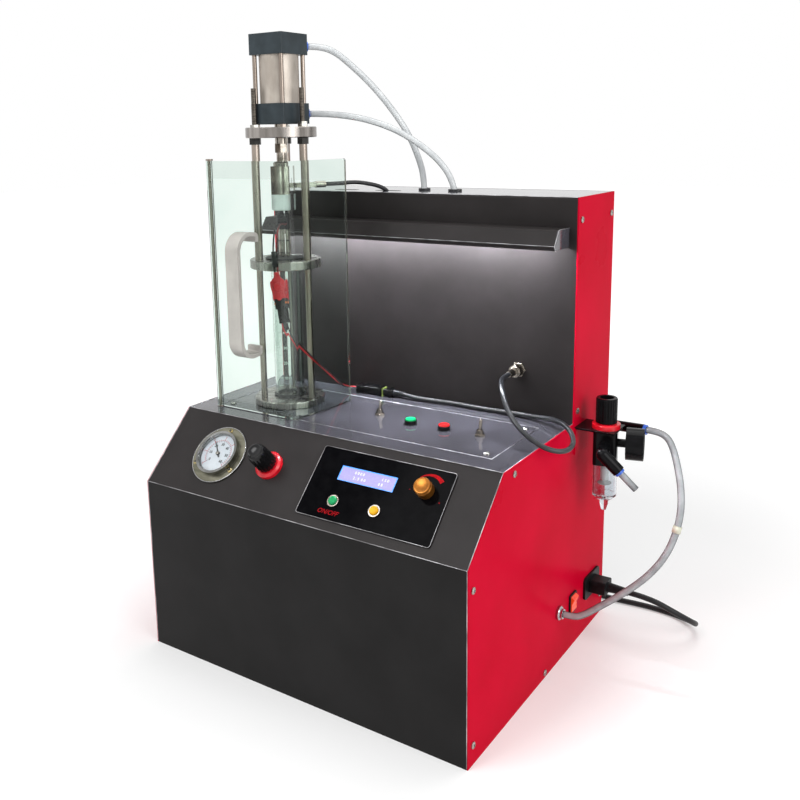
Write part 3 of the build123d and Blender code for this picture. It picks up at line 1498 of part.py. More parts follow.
def clamp_collar():
    """White collar that presses on the injector's neck."""
    bore = INJECTOR_NECK_RADIUS + 2 * RUNNING_GAP
    ceiling = INJECTOR_TOP + RUNNING_GAP
    outline = [
        (bore, WHITE_COLLAR_BOTTOM),
        (WHITE_COLLAR_RADIUS - WHITE_COLLAR_CHAMFER, WHITE_COLLAR_BOTTOM),
        (WHITE_COLLAR_RADIUS, WHITE_COLLAR_BOTTOM + WHITE_COLLAR_CHAMFER),
        (WHITE_COLLAR_RADIUS, ADAPTER_BOTTOM),
        (0, ADAPTER_BOTTOM),
        (0, ceiling),
        (bore, ceiling),
    ]
    return turned(TOWER, outline)


def injector():
    """Injector under test, standing in its seat, with its plug socket."""
    outline = [
        (0, INJECTOR_NOSE_BOTTOM),
        (INJECTOR_TIP_RADIUS, INJECTOR_NOSE_BOTTOM),
        (INJECTOR_TIP_RADIUS, RING_BOTTOM + SEAT_THICKNESS),
        (INJECTOR_RADIUS, INJECTOR_SHOULDER),
    ]
    for height in INJECTOR_GROOVES:
        low = height - GROOVE_WIDTH / 2
        high = height + GROOVE_WIDTH / 2
        outline += [(INJECTOR_RADIUS, low), (INJECTOR_GROOVE_RADIUS, low)]
        outline += [(INJECTOR_GROOVE_RADIUS, high), (INJECTOR_RADIUS, high)]
    outline += [
        (INJECTOR_RADIUS, INJECTOR_METAL_TOP),
        (INJECTOR_COIL_RADIUS, INJECTOR_METAL_TOP),
        (INJECTOR_COIL_RADIUS, INJECTOR_COIL_TOP - GROOVE_WIDTH),
        (INJECTOR_NECK_RADIUS, INJECTOR_COIL_TOP),
        (INJECTOR_NECK_RADIUS, INJECTOR_TOP),
        (0, INJECTOR_TOP),
    ]
    body = turned(TOWER, outline)
    place = TOWER * Rot(0, 0, SOCKET_AZIMUTH)
    half = SOCKET_WIDTH / 2
    socket = slab(
        place,
        (0, -half),
        (SOCKET_REACH, half),
        SOCKET_MIDDLE - SOCKET_HEIGHT / 2,
        SOCKET_MIDDLE + SOCKET_HEIGHT / 2,
        0,
    )
    return body + socket


def guard_pane():
    """Bent clear pane with its hinge tube and the holes for its handle."""
    pin = (GUARD_PIN_X - HALF_WIDTH, GUARD_PIN_Y - HALF_DEPTH)
    corner = (GUARD_CORNER_X - HALF_WIDTH, GUARD_CORNER_Y - HALF_DEPTH)
    wing = (GUARD_WING_X - HALF_WIDTH, GUARD_WING_Y - HALF_DEPTH)
    line = FilletPolyline(pin, corner, wing, radius=GUARD_BEND_RADIUS)
    half = GUARD_THICKNESS / 2
    section = make_face(offset(line, half, side=Side.RIGHT)) + make_face(offset(line, half, side=Side.LEFT))
    bottom = DECK_HEIGHT + GUARD_LIFT
    pane = extrude(Pos(0, 0, bottom) * section, GUARD_TOP - bottom)
    tip = Vector(wing[0], wing[1], GUARD_TOP)
    edge = min(pane.edges(), key=lambda candidate: (candidate.center() - tip).length)
    pane = fillet(edge, GUARD_CORNER_ROUND)
    place = guard_pin_place()
    top = GUARD_TOP - DECK_HEIGHT
    pane = pane + bar(place, HINGE_TUBE_RADIUS, GUARD_LIFT, top)
    pane = pane - bar(place, HINGE_PIN_RADIUS + RUNNING_GAP, -OVERRUN, top + OVERRUN)
    for place in handle_screws():
        pane = pane - bar(place, HANDLE_SCREW_RADIUS + FIXED_GAP, -GUARD_THICKNESS - OVERRUN, OVERRUN)
    return pane


def handle_screws():
    """Places of the handle's feet on the pane's front face, facing forward."""
    face = GUARD_PIN_Y - HALF_DEPTH - GUARD_THICKNESS / 2
    return [
        Plane(origin=(HANDLE_X - HALF_WIDTH, face, z), x_dir=(1, 0, 0), z_dir=(0, -1, 0)).location
        for z in (HANDLE_LOW, HANDLE_HIGH)
    ]


def guard_handle():
    """White strap handle with its two screws through the pane."""
    face = GUARD_PIN_Y - HALF_DEPTH - GUARD_THICKNESS / 2
    reach = face - HANDLE_PROUD + HANDLE_THICKNESS / 2
    middle = HANDLE_X - HALF_WIDTH
    foot = HANDLE_FLARE
    route = [
        (face - HANDLE_THICKNESS / 2, HANDLE_LOW + foot),
        (face - HANDLE_THICKNESS / 2, HANDLE_LOW - foot / 2),
        (reach, HANDLE_LOW - foot),
        (reach, HANDLE_HIGH + foot),
        (face - HANDLE_THICKNESS / 2, HANDLE_HIGH + foot / 2),
        (face - HANDLE_THICKNESS / 2, HANDLE_HIGH - foot),
    ]
    small = HANDLE_THICKNESS * 0.8
    line = FilletPolyline(*route, radius=[small, HANDLE_BEND, HANDLE_BEND, small])
    half = HANDLE_THICKNESS / 2
    section = make_face(offset(line, half, side=Side.RIGHT)) + make_face(offset(line, half, side=Side.LEFT))
    low = middle - HANDLE_WIDTH / 2
    strap = Plane.YZ.location * Pos(0, 0, low) * extrude(section, HANDLE_WIDTH)
    for place in handle_screws():
        rear = -GUARD_THICKNESS
        strap = strap + bar(place, HANDLE_SCREW_RADIUS, rear - HANDLE_SCREW_HEAD_HEIGHT, half)
        strap = strap + bar(place, HANDLE_SCREW_HEAD, rear - HANDLE_SCREW_HEAD_HEIGHT, rear)
    return strap


def guard_hinge_pin():
    """Steel pin through the guard's tube, with its washer, head and nut."""
    place = guard_pin_place()
    top = GUARD_TOP - DECK_HEIGHT + RUNNING_GAP
    under = -2 * SHEET
    pin = bar(place, HINGE_PIN_RADIUS, under - HINGE_NUT, top + HINGE_HEAD)
    pin = pin + bar(place, HINGE_TUBE_RADIUS, top, top + HINGE_HEAD)
    pin = pin + bar(place, HINGE_TUBE_RADIUS, 0, GUARD_LIFT - RUNNING_GAP)
    return pin + hexagon(place, 2 * HINGE_TUBE_RADIUS, under - HINGE_NUT, under)


def lamp_hood():
    """Folded hood with end plates, and the lamp bar under its top."""
    left = -HALF_WIDTH + HOOD_INSET
    right = HALF_WIDTH - HOOD_INSET
    wall = COLUMN_FRONT
    rear_lip = HOOD_TOP - HOOD_NOSE_DROP
    nose = (wall - HOOD_DEPTH, HOOD_TOP - HOOD_NOSE_DROP)
    lip = (wall - HOOD_LIP_DEPTH, HOOD_TOP - HOOD_LIP_DROP)
    crest = (wall - HOOD_TOP_DEPTH, HOOD_TOP)
    route = [lip, nose, crest, (wall, HOOD_TOP), (wall, rear_lip)]
    hood = folded(route, left, right, bend=FOLD_RADIUS - SHEET / 2)
    outline = [lip, nose, crest, (wall, HOOD_TOP), (wall, HOOD_TOP - HOOD_LIP_DROP)]
    hood = hood + prism(outline, left, left + SHEET) + prism(outline, right - SHEET, right)
    lamp_top = HOOD_TOP - SHEET
    lamp = block(
        (left + LED_INSET, wall - LED_DEPTH - LED_WIDTH, lamp_top - LED_HEIGHT),
        (right - LED_INSET, wall - LED_DEPTH, lamp_top),
    )
    return [hood, lamp]


def power_inlet():
    """Mains inlet and the frame of the rocker switch."""
    place = side_place(INLET_Y, INLET_Z)
    inlet = slab_about(place, INLET_WIDTH, INLET_HEIGHT, 0, 0, INLET_FLANGE, INLET_CORNER)
    inlet = inlet + slab_about(place, INLET_BODY_WIDTH, INLET_BODY_HEIGHT, 0, -INLET_DEPTH, 0)
    cavity = PLUG_NOSE + RUNNING_GAP
    inlet = inlet - slab_about(
        place, PLUG_WIDTH, PLUG_HEIGHT, FIXED_GAP, INLET_FLANGE - cavity, INLET_FLANGE + OVERRUN
    )
    rocker = side_place(ROCKER_Y, ROCKER_Z)
    cavity_height = 2 * (ROCKER_RADIUS + RUNNING_GAP)
    cavity_width = ROCKER_WIDTH + 2 * RUNNING_GAP
    frame = slab_about(rocker, ROCKER_FRAME_WIDTH, ROCKER_FRAME_HEIGHT, 0, 0, ROCKER_FRAME, FOLD_RADIUS)
    frame = frame + slab_about(
        rocker, cavity_width + SHEET, cavity_height + SHEET, 0, -ROCKER_BODY_DEPTH, 0
    )
    floor = -ROCKER_PIVOT_DEPTH - ROCKER_RADIUS - RUNNING_GAP
    frame = frame - slab_about(rocker, cavity_width, cavity_height, 0, floor, ROCKER_FRAME + OVERRUN)
    return [inlet, frame]


def power_rocker():
    """Dished rocker that turns about a level axis inside its frame."""
    place = side_place(ROCKER_Y, ROCKER_Z) * Pos(0, 0, -ROCKER_PIVOT_DEPTH) * Rot(ROCKER_TILT, 0, 0)
    drum = place * Rot(0, 90, 0) * Cylinder(ROCKER_RADIUS, ROCKER_WIDTH)
    rise = ROCKER_RADIUS * 1.2 * math.tan(math.radians(ROCKER_DISH_SLOPE))
    reach = ROCKER_RADIUS * 1.2
    top = ROCKER_RADIUS * 1.5
    points = [
        (0, ROCKER_DISH),
        (reach, ROCKER_DISH + rise),
        (reach, top),
        (-reach, top),
        (-reach, ROCKER_DISH + rise),
    ]
    face = make_face(Polyline(*points, close=True).edges())
    width = ROCKER_WIDTH + 2 * OVERRUN
    cutter = place * Plane.YZ.location * Pos(0, 0, -width / 2) * extrude(face, width)
    return drum - cutter


def hose_port():
    """Bulkhead fitting for the supply hose."""
    place = side_place(PORT_Y, PORT_Z)
    port = turned(
        place,
        [
            (0, -PORT_TAIL),
            (COLLET_RADIUS, -PORT_TAIL),
            (COLLET_RADIUS, 0),
            (PORT_RING_RADIUS, 0),
            (PORT_RING_RADIUS, PORT_RING - DISC_CHAMFER),
            (PORT_RING_RADIUS - DISC_CHAMFER, PORT_RING),
            (COLLET_RADIUS, PORT_RING),
            (COLLET_RADIUS, PORT_RING + COLLET),
            (0, PORT_RING + COLLET),
        ],
    )
    return port + hexagon(place, PORT_NUT_FLATS, -SHEET - PORT_NUT, -SHEET)


def filter_face(turn, z):
    """Place on the filter's axis at a height, its Z axis turned from the gauge's side."""
    return FILTER_PLACE * Pos(0, 0, z) * Rot(0, 0, turn) * Rot(0, 90, 0)


def elbow_place():
    """Turned-down outlet of the elbow, its Z axis along the outlet."""
    return FILTER_PLACE * Pos(0, -ELBOW_OFFSET, ELBOW_Z) * Rot(0, 90 + ELBOW_FALL, 0)


def tee_place():
    """Outlet of the tee behind the filter, its Z axis along the outlet."""
    return FILTER_PLACE * Pos(0, TEE_OFFSET, TEE_Z) * Rot(0, 0, -TEE_TURN) * Rot(0, 90 - TEE_RISE, 0)


def filter_body():
    """Filter head with its ring nut, bracket, elbow, tee and drain valve."""
    body = slab_about(FILTER_PLACE, FILTER_SIDE, FILTER_SIDE, 0, FILTER_BOTTOM, FILTER_TOP, FILTER_CORNER)
    bracket_top = FILTER_TOP + BRACKET_SHEET
    ring_top = bracket_top + FILTER_RING - BRACKET_SHEET
    body = body + bar(FILTER_PLACE, FILTER_NECK_RADIUS, FILTER_TOP, bracket_top + FILTER_NECK)
    body = body + turned(
        FILTER_PLACE,
        [
            (0, bracket_top),
            (FILTER_RING_RADIUS, bracket_top),
            (FILTER_RING_RADIUS, ring_top - DISC_CHAMFER),
            (FILTER_RING_RADIUS - DISC_CHAMFER, ring_top),
            (0, ring_top),
        ],
    )
    body = body - bar(FILTER_PLACE, BOWL_RADIUS - BOWL_WALL, FILTER_BOTTOM - OVERRUN, FILTER_BOTTOM + BOWL_LIP)
    nipple = filter_face(0, DIAL_Z)
    body = body + bar(nipple, DIAL_NIPPLE_RADIUS, 0, DIAL_BACK)
    nut = filter_face(-90, ELBOW_Z)
    half = FILTER_SIDE / 2
    body = body + hexagon(nut, ELBOW_NUT_FLATS, half - FOLD_RADIUS, half + ELBOW_NUT)
    body = body + bar(nut, ELBOW_RADIUS, half + ELBOW_NUT, ELBOW_OFFSET)
    outlet = elbow_place()
    body = body + outlet * Sphere(ELBOW_RADIUS)
    body = body + bar(outlet, ELBOW_RADIUS, 0, ELBOW_REACH)
    body = body + bar(outlet, COLLET_RADIUS, ELBOW_REACH, ELBOW_REACH + COLLET)
    body = body - bar(
        outlet,
        AIR_HOSE_RADIUS + FIXED_GAP,
        ELBOW_REACH + COLLET - STUB_SOCKET,
        ELBOW_REACH + COLLET + OVERRUN,
    )
    tee_face = filter_face(90, TEE_Z)
    body = body + bar(tee_face, TEE_NIPPLE_RADIUS, half - FOLD_RADIUS, TEE_OFFSET)
    tee = tee_place()
    body = body + tee * Sphere(TEE_RADIUS)
    body = body + bar(tee, TEE_RADIUS * 0.85, 0, TEE_REACH)
    body = body + bar(tee, COLLET_RADIUS, TEE_REACH, TEE_REACH + COLLET)
    valve = FILTER_PLACE * Pos(0, TEE_OFFSET, 0)
    body = body + bar(valve, VALVE_RADIUS, VALVE_BOTTOM, VALVE_TOP)
    return [body, filter_bracket()]


def filter_bracket():
    """Chrome angle that hangs the filter from the side panel."""
    half = BRACKET_WIDTH / 2
    reach = FILTER_X - WIDTH + FILTER_RING_RADIUS
    y = FILTER_Y - HALF_DEPTH
    top = FILTER_TOP + BRACKET_SHEET
    arm = block((HALF_WIDTH, y - half, FILTER_TOP), (HALF_WIDTH + reach, y + half, top))
    leaf = block((HALF_WIDTH, y - half, top - BRACKET_DROP), (HALF_WIDTH + BRACKET_SHEET, y + half, top))
    neck = bar(FILTER_PLACE, FILTER_NECK_RADIUS + FIXED_GAP, FILTER_TOP - OVERRUN, top + OVERRUN)
    return arm + leaf - neck


def filter_knob():
    """Ribbed cap with a dished top, over the filter's neck."""
    grip_top = FILTER_KNOB_TOP - KNOB_CHAMFER
    grip = ribbed(
        FILTER_PLACE, FILTER_KNOB_RADIUS, KNOB_RIB_DEPTH, FILTER_KNOB_RIBS, FILTER_KNOB_BOTTOM, grip_top
    )
    rim = bar(FILTER_PLACE, FILTER_KNOB_RADIUS - KNOB_RIB_DEPTH, grip_top, FILTER_KNOB_TOP)
    dish = bar(FILTER_PLACE, FILTER_KNOB_DISH_RADIUS, FILTER_KNOB_TOP - FILTER_KNOB_DISH, FILTER_KNOB_TOP + OVERRUN)
    neck_top = FILTER_TOP + BRACKET_SHEET + FILTER_NECK + RUNNING_GAP
    bore = bar(FILTER_PLACE, FILTER_NECK_RADIUS + RUNNING_GAP, FILTER_KNOB_BOTTOM - OVERRUN, neck_top)
    return grip + rim - dish - bore


def filter_bowl():
    """Clear bowl with its drain screw."""
    outer = BOWL_RADIUS
    inner = BOWL_RADIUS - BOWL_WALL
    floor = BOWL_BOTTOM + BOWL_WALL
    crown = BOWL_RADIUS * 0.3
    outline = [
        (0, DRAIN_BOTTOM),
        (DRAIN_TIP_RADIUS, DRAIN_BOTTOM),
        (DRAIN_RADIUS, (DRAIN_BOTTOM + BOWL_BOTTOM) / 2),
        (DRAIN_RADIUS, BOWL_BOTTOM),
        (outer - crown, BOWL_BOTTOM),
        (outer, BOWL_BOTTOM + crown),
        (outer, FILTER_BOTTOM),
        (inner, FILTER_BOTTOM),
        (inner, floor + crown),
        (inner - crown, floor),
        (0, floor),
    ]
    return turned(FILTER_PLACE, outline)


def filter_gauge():
    """Small round gauge facing right, with its dial floor."""
    place = filter_face(0, DIAL_Z)
    outline = [
        (0, DIAL_BACK),
        (DIAL_RADIUS, DIAL_BACK),
        (DIAL_RADIUS, DIAL_FRONT),
        (DIAL_FACE_RADIUS, DIAL_FRONT),
        (DIAL_FACE_RADIUS, DIAL_FRONT - DIAL_FACE_DEPTH),
        (0, DIAL_FRONT - DIAL_FACE_DEPTH),
    ]
    return turned(place, outline)


def filter_needle():
    """Pointer of the small gauge."""
    place = filter_face(0, DIAL_Z)
    lift = DIAL_FRONT - DIAL_FACE_DEPTH + RUNNING_GAP
    return pointer(place, lift, DIAL_HUB_RADIUS, DIAL_HUB, DIAL_NEEDLE, NEEDLE_TAIL / 2, DIAL_ZERO_ANGLE)


def valve_cap():
    """Ribbed cap of the drain valve."""
    place = FILTER_PLACE * Pos(0, TEE_OFFSET, 0)
    start = VALVE_TOP + RUNNING_GAP
    return ribbed(place, VALVE_CAP_RADIUS, KNOB_RIB_DEPTH / 2, VALVE_CAP_RIBS, start, start + VALVE_CAP)


def air_hoses():
    """Both clear hoses of the air cylinder."""
    return [
        flexible("upper air hose", upper_air_route(), AIR_HOSE_RADIUS),
        flexible("lower air hose", lower_air_route(), AIR_HOSE_RADIUS),
    ]


def fuel_hose():
    """Black hose from the clamp's arm into the column."""
    start = arm_place() * Pos(ARM_REACH + FERRULE_LENGTH, 0, ARM_THICKNESS / 2) * Rot(0, 90, 0)
    return flexible("fuel hose", lead_in(start, FUEL_RUN) + FUEL_POINTS, FUEL_HOSE_RADIUS)


def supply_hose():
    """Clear hose from the filter to the cabinet, and the filter's inlet stub."""
    start = tee_place() * Pos(0, 0, TEE_REACH + COLLET)
    end = side_place(PORT_Y, PORT_Z) * Pos(0, 0, PORT_RING + COLLET)
    route = lead_in(start, PORT_RUN) + SUPPLY_POINTS + lead_out(end, PORT_RUN)
    socket = ELBOW_REACH + COLLET - STUB_SOCKET
    return [
        flexible("supply hose", route, AIR_HOSE_RADIUS),
        bar(elbow_place(), AIR_HOSE_RADIUS, socket, socket + STUB_LENGTH),
    ]


def socket_place(side):
    """Wire exit of the injector's plug socket: side is 1 for the red wire, -1 for the black."""
    place = TOWER * Rot(0, 0, SOCKET_AZIMUTH)
    return place * Pos(SOCKET_REACH, side * PIGTAIL_OFFSET, SOCKET_MIDDLE) * Rot(0, 90, 0)


def pigtail(name, side, points):
    """Wire from the injector's socket to the boot."""
    end = boot_place() * Pos(side * PIGTAIL_OFFSET, 0, 0) * Rot(0, 180, 0)
    route = lead_in(socket_place(side), WIRE_RUN) + points + lead_out(end, WIRE_RUN)
    return flexible(name, route, WIRE_RADIUS)


def tester_wire(name, side, points):
    """Wire from the tester's plug to the sealed connector."""
    length = (Vector(BOOT_END) - Vector(BOOT_TOP)).length
    start = boot_place() * Pos(-side * WIRE_OFFSET, 0, length)
    end = sealed_place() * Pos(0, side * WIRE_OFFSET, 0) * Rot(0, -90, 0)
    route = lead_in(start, WIRE_RUN) + points + lead_out(end, WIRE_RUN)
    return flexible(name, route, WIRE_RADIUS)


def cable():
    """Cable from the sealed connector to the column."""
    start = sealed_place() * Pos(SEALED_LENGTH, 0, 0) * Rot(0, 90, 0)
    end = wall_place(WALL_PLUG_X, WALL_PLUG_Z) * Pos(0, 0, WALL_NUT + WALL_RING + WALL_RELIEF)
    route = lead_in(start, CABLE_RUN) + CABLE_POINTS + lead_out(end, CABLE_RUN)
    return flexible("cable", route, CABLE_RADIUS)


def harness_leads():
    """Injector wires and the cable to the column."""
    return [
        pigtail("red pigtail", 1, RED_PIGTAIL_POINTS),
        pigtail("black pigtail", -1, BLACK_PIGTAIL_POINTS),
        tester_wire("red wire", 1, RED_WIRE_POINTS),
        tester_wire("black wire", -1, BLACK_WIRE_POINTS),
        cable(),
    ]


def boot_place():
    """Top of the red boot, its Z axis pointing down along the boot."""
    axis = Vector(BOOT_END) - Vector(BOOT_TOP)
    return Plane(origin=BOOT_TOP, x_dir=(0.825, 0.565, 0), z_dir=axis).location


def sealed_place():
    """Left end of the sealed connector, its X axis along the connector."""
    x = SEALED_X - HALF_WIDTH
    y = SEALED_Y - HALF_DEPTH
    return Pos(x, y, DECK_HEIGHT + SEALED_HEIGHT / 2) * Rot(0, 0, SEALED_TURN)


def red_boot():
    """Rubber boot: round neck, broad shoulder, narrower skirt."""
    place = boot_place()
    neck = bar(place, BOOT_NECK_RADIUS, 0, BOOT_NECK)
    half = BOOT_WIDTH / 2
    skirt = half * 0.8
    shares = [
        (BOOT_NECK_RADIUS, BOOT_NECK * 0.7),
        (half, BOOT_NECK * 1.3),
        (half, BOOT_HEIGHT * 0.55),
        (skirt, BOOT_HEIGHT * 0.68),
        (skirt, BOOT_HEIGHT),
    ]
    points = [(-x, z) for x, z in shares] + [(x, z) for x, z in reversed(shares)]
    face = make_face(Polyline(*points, close=True).edges())
    thickness = BOOT_THICKNESS
    body = place * Plane.XZ.location * Pos(0, 0, -thickness / 2) * extrude(face, thickness)
    return neck + body


def tester_plug():
    """Two-pin plug under the boot."""
    place = boot_place()
    end = (Vector(BOOT_END) - Vector(BOOT_TOP)).length
    start = BOOT_HEIGHT
    collar = start + (end - start) * 0.35
    body = slab_about(place, TESTER_PLUG_THICKNESS, TESTER_PLUG_THICKNESS, 0, start, end, FOLD_RADIUS)
    return body + slab_about(
        place, TESTER_PLUG_WIDTH, TESTER_PLUG_THICKNESS * 1.15, 0, start, collar + SEALED_LATCH, FOLD_RADIUS
    )


def sealed_connector():
    """Sealed in-line connector that lies on the deck."""
    place = sealed_place() * Rot(0, 90, 0)
    body = slab_about(place, SEALED_HEIGHT * 0.8, SEALED_WIDTH * 0.8, 0, 0, SEALED_LENGTH, FOLD_RADIUS)
    shell = slab_about(
        place, SEALED_HEIGHT, SEALED_WIDTH, 0, SEALED_LENGTH * 0.15, SEALED_LENGTH * 0.65, FOLD_RADIUS
    )
    latch = slab(
        place,
        (-SEALED_HEIGHT / 2 - SEALED_LATCH, -SEALED_WIDTH / 4),
        (-SEALED_HEIGHT / 2 + SEALED_LATCH, SEALED_WIDTH / 4),
        SEALED_LENGTH * 0.25,
        SEALED_LENGTH * 0.55,
    )
    return body + shell + latch


def wall_plug():
    """Round screw plug on the column, with its nut and relief."""
    place = wall_place(WALL_PLUG_X, WALL_PLUG_Z)
    nut = bar(place, WALL_NUT_RADIUS, 0, WALL_NUT)
    tail = bar(place, WALL_RING_RADIUS - FIXED_GAP, -SHEET - WALL_NUT, 0)
    ring_end = WALL_NUT + WALL_RING
    grip = ribbed(place, WALL_RING_RADIUS, KNOB_RIB_DEPTH, WALL_RING_RIBS, WALL_NUT, ring_end)
    relief = turned(
        place,
        [
            (0, ring_end),
            (WALL_RING_RADIUS * 0.75, ring_end),
            (CABLE_RADIUS * 1.25, ring_end + WALL_RELIEF),
            (0, ring_end + WALL_RELIEF),
        ],
    )
    return nut + tail + grip + relief


def harness_connectors():
    """Boot, plug, in-line connector and wall plug of the injector harness."""
    return [red_boot(), tester_plug(), sealed_connector(), wall_plug()]


def mains_lead():
    """Mains lead from the connector's relief round to the coil."""
    face = INLET_FLANGE + PLUG_REACH + RELIEF_LENGTH
    start = side_place(INLET_Y, INLET_Z) * Pos(0, 0, face)
    first = coil_points()[0]
    route = lead_in(start, LEAD_RUN) + LEAD_POINTS + [first + Vector(COIL_RUN, 0, 0), first]
    return flexible("mains lead", route, LEAD_RADIUS)


def coil_points():
    """Quarter-turn points of the coil: in on the floor, up, and out on top."""
    quarters = round(COIL_TURNS_A_LAYER * QUARTERS_A_TURN)
    climb = QUARTERS_A_TURN // 2
    total = 2 * quarters + climb
    inward = COIL_PITCH / QUARTERS_A_TURN
    centre = Vector(COIL_X - HALF_WIDTH, COIL_Y - HALF_DEPTH, LEAD_RADIUS + FIXED_GAP)
    points = []
    for index in range(total + 1):
        steps = total / 2 - abs(index - total / 2)
        radius = COIL_OUTER_RADIUS - inward * steps
        rise = COIL_LAYER * min(1, max(0, (index - quarters) / climb))
        angle = math.radians(-90.0 - 90.0 * index)
        points.append(centre + Vector(radius * math.cos(angle), radius * math.sin(angle), rise))
    return points


def coil_tangents(points):
    """Direction of the coil at each quarter-turn point."""
    tangents = []
    for index in range(len(points)):
        angle = math.radians(-90.0 - 90.0 * index)
        level = Vector(math.sin(angle), -math.cos(angle), 0)
        before = points[max(0, index - 1)]
        after = points[min(len(points) - 1, index + 1)]
        slope = (after.Z - before.Z) / max((after - before).length, LEAD_RADIUS) / 2
        at_end = index in (0, len(points) - 1)
        lifted = level if at_end else level + Vector(0, 0, slope)
        tangents.append(lifted.normalized())
    return tangents


def biarc(start, start_dir, end, end_dir):
    """Two arcs that leave and arrive along the given directions."""
    chord = end - start
    total = start_dir + end_dir
    spread = 1 - start_dir.dot(end_dir)
    reach = chord.dot(total)
    arm = (-reach + math.sqrt(reach**2 + 2 * spread * chord.dot(chord))) / (2 * spread)
    middle = (start + start_dir * arm + end - end_dir * arm) * 0.5
    first = TangentArc(start, middle, tangent=start_dir)
    return [first, TangentArc(middle, end, tangent=first % 1)]


def mains_coil():
    """Put-away length of the mains lead, wound in two layers."""
    points = coil_points()
    tangents = coil_tangents(points)
    arcs = []
    for index in range(len(points) - 1):
        arcs += biarc(points[index], tangents[index], points[index + 1], tangents[index + 1])
    tail_end = points[-1] + tangents[-1] * COIL_TAIL
    arcs.append(Line(points[-1], tail_end))
    path = Wire(Curve(arcs).edges())
    section = Plane(origin=points[0], z_dir=tangents[0]) * Circle(LEAD_RADIUS)
    coil = sweep(section, path=path)
    ratio = coil.volume / (math.pi * LEAD_RADIUS**2 * path.length)
    samples = [path @ (index / COIL_SAMPLES) for index in range(COIL_SAMPLES + 1)]
    apart = COIL_SAMPLES // 10
    least = min(
        (samples[i] - samples[j]).length
        for i in range(0, COIL_SAMPLES, 2)
        for j in range(i + apart, COIL_SAMPLES, 2)
    )
    print(f"mains coil: length {path.length:.0f}, least gap {least - 2 * LEAD_RADIUS:.2f}, volume {ratio:.4f}")
    return coil


def mains_plug():
    """Wall plug that lies at the end of the coil."""
    points = coil_points()
    direction = coil_tangents(points)[-1]
    start = points[-1] + direction * COIL_TAIL
    place = Plane(origin=start, x_dir=(0, 0, 1), z_dir=direction).location
    half = start.Z - FIXED_GAP / 2
    body = slab_about(place, 2 * half, MAINS_PLUG_WIDTH, 0, 0, MAINS_PLUG_LENGTH, MAINS_PLUG_CORNER)
    for side in (-1, 1):
        pin = place * Pos(0, side * MAINS_PIN_PITCH / 2, 0)
        body = body + bar(pin, MAINS_PIN_RADIUS, MAINS_PLUG_LENGTH, MAINS_PLUG_LENGTH + MAINS_PIN_LENGTH)
    return body


def mains_connector():
    """Connector in the inlet, with its ribbed and tapered relief."""
    place = side_place(INLET_Y, INLET_Z)
    face = INLET_FLANGE
    nose = slab_about(place, PLUG_WIDTH, PLUG_HEIGHT, 0, face - PLUG_NOSE, face)
    grip_end = face + PLUG_REACH
    grip = slab_about(
        place, PLUG_WIDTH + SHEET, PLUG_HEIGHT + SHEET, 0, face + RUNNING_GAP, grip_end, PLUG_CORNER
    )
    link = slab_about(place, PLUG_WIDTH, PLUG_HEIGHT, 0, face, face + RUNNING_GAP)
    relief = turned(
        place,
        [
            (0, grip_end),
            (RELIEF_ROOT_RADIUS, grip_end),
            (RELIEF_TIP_RADIUS, grip_end + RELIEF_LENGTH),
            (0, grip_end + RELIEF_LENGTH),
        ],
    )
    return nose + link + grip + relief


def mains_lead_ends():
    """Connector and wall plug of the mains lead."""
    return [mains_connector(), mains_plug()]


def fuel_tank():
    """Welded fuel tank with its filler cap and drain feet."""
    x = TANK_X - HALF_WIDTH
    y = TANK_Y - HALF_DEPTH
    place = Pos(x, y, 0)
    bottom = SHEET + TANK_FOOT
    top = bottom + TANK_HEIGHT
    tank = slab_about(place, TANK_WIDTH, TANK_DEPTH, 0, bottom, top, TANK_CORNER)
    tank = tank + ring(place, TANK_CAP_RADIUS, TANK_CAP_RADIUS / 4, top, top + TANK_CAP)
    inset = TANK_CORNER * 2
    for side in (-1, 1):
        edge = side * (TANK_WIDTH / 2 - inset)
        low, high = sorted((edge, edge + side * inset))
        tank = tank + block(
            (x + low, y - TANK_DEPTH / 2 + inset, SHEET), (x + high, y + TANK_DEPTH / 2 - inset, bottom)
        )
    return tank


def pump_unit():
    """Finned motor and gear pump on one foot plate."""
    x = PUMP_X - HALF_WIDTH
    y = PUMP_Y - HALF_DEPTH
    axis = Plane(origin=(x, y, MOTOR_Z), x_dir=(1, 0, 0), z_dir=(0, 1, 0)).location
    unit = bar(axis, MOTOR_RADIUS - MOTOR_FIN, -MOTOR_LENGTH / 2, MOTOR_LENGTH / 2)
    step = MOTOR_LENGTH / (MOTOR_FINS + 1)
    for index in range(MOTOR_FINS):
        middle = -MOTOR_LENGTH / 2 + step * (index + 1)
        unit = unit + bar(axis, MOTOR_RADIUS, middle - MOTOR_FIN, middle + MOTOR_FIN)
    head_end = -MOTOR_LENGTH / 2 - PUMP_LENGTH
    unit = unit + slab_about(axis, PUMP_SIDE, PUMP_SIDE, 0, head_end, -MOTOR_LENGTH / 2, FOLD_RADIUS)
    port = Pos(x, y + head_end + PUMP_LENGTH / 2, 0)
    port_bottom = MOTOR_Z + PUMP_SIDE / 2
    unit = unit + bar(port, PUMP_PORT_RADIUS, port_bottom, port_bottom + PUMP_PORT)
    half = PUMP_FOOT_WIDTH / 2
    foot = block(
        (x - half, y + head_end, SHEET), (x + half, y + MOTOR_LENGTH / 2, SHEET + PUMP_FOOT)
    )
    post = block(
        (x - half / 2, y + head_end + PUMP_FOOT, SHEET),
        (x + half / 2, y + MOTOR_LENGTH / 2 - PUMP_FOOT, MOTOR_Z),
    )
    return unit + foot + post


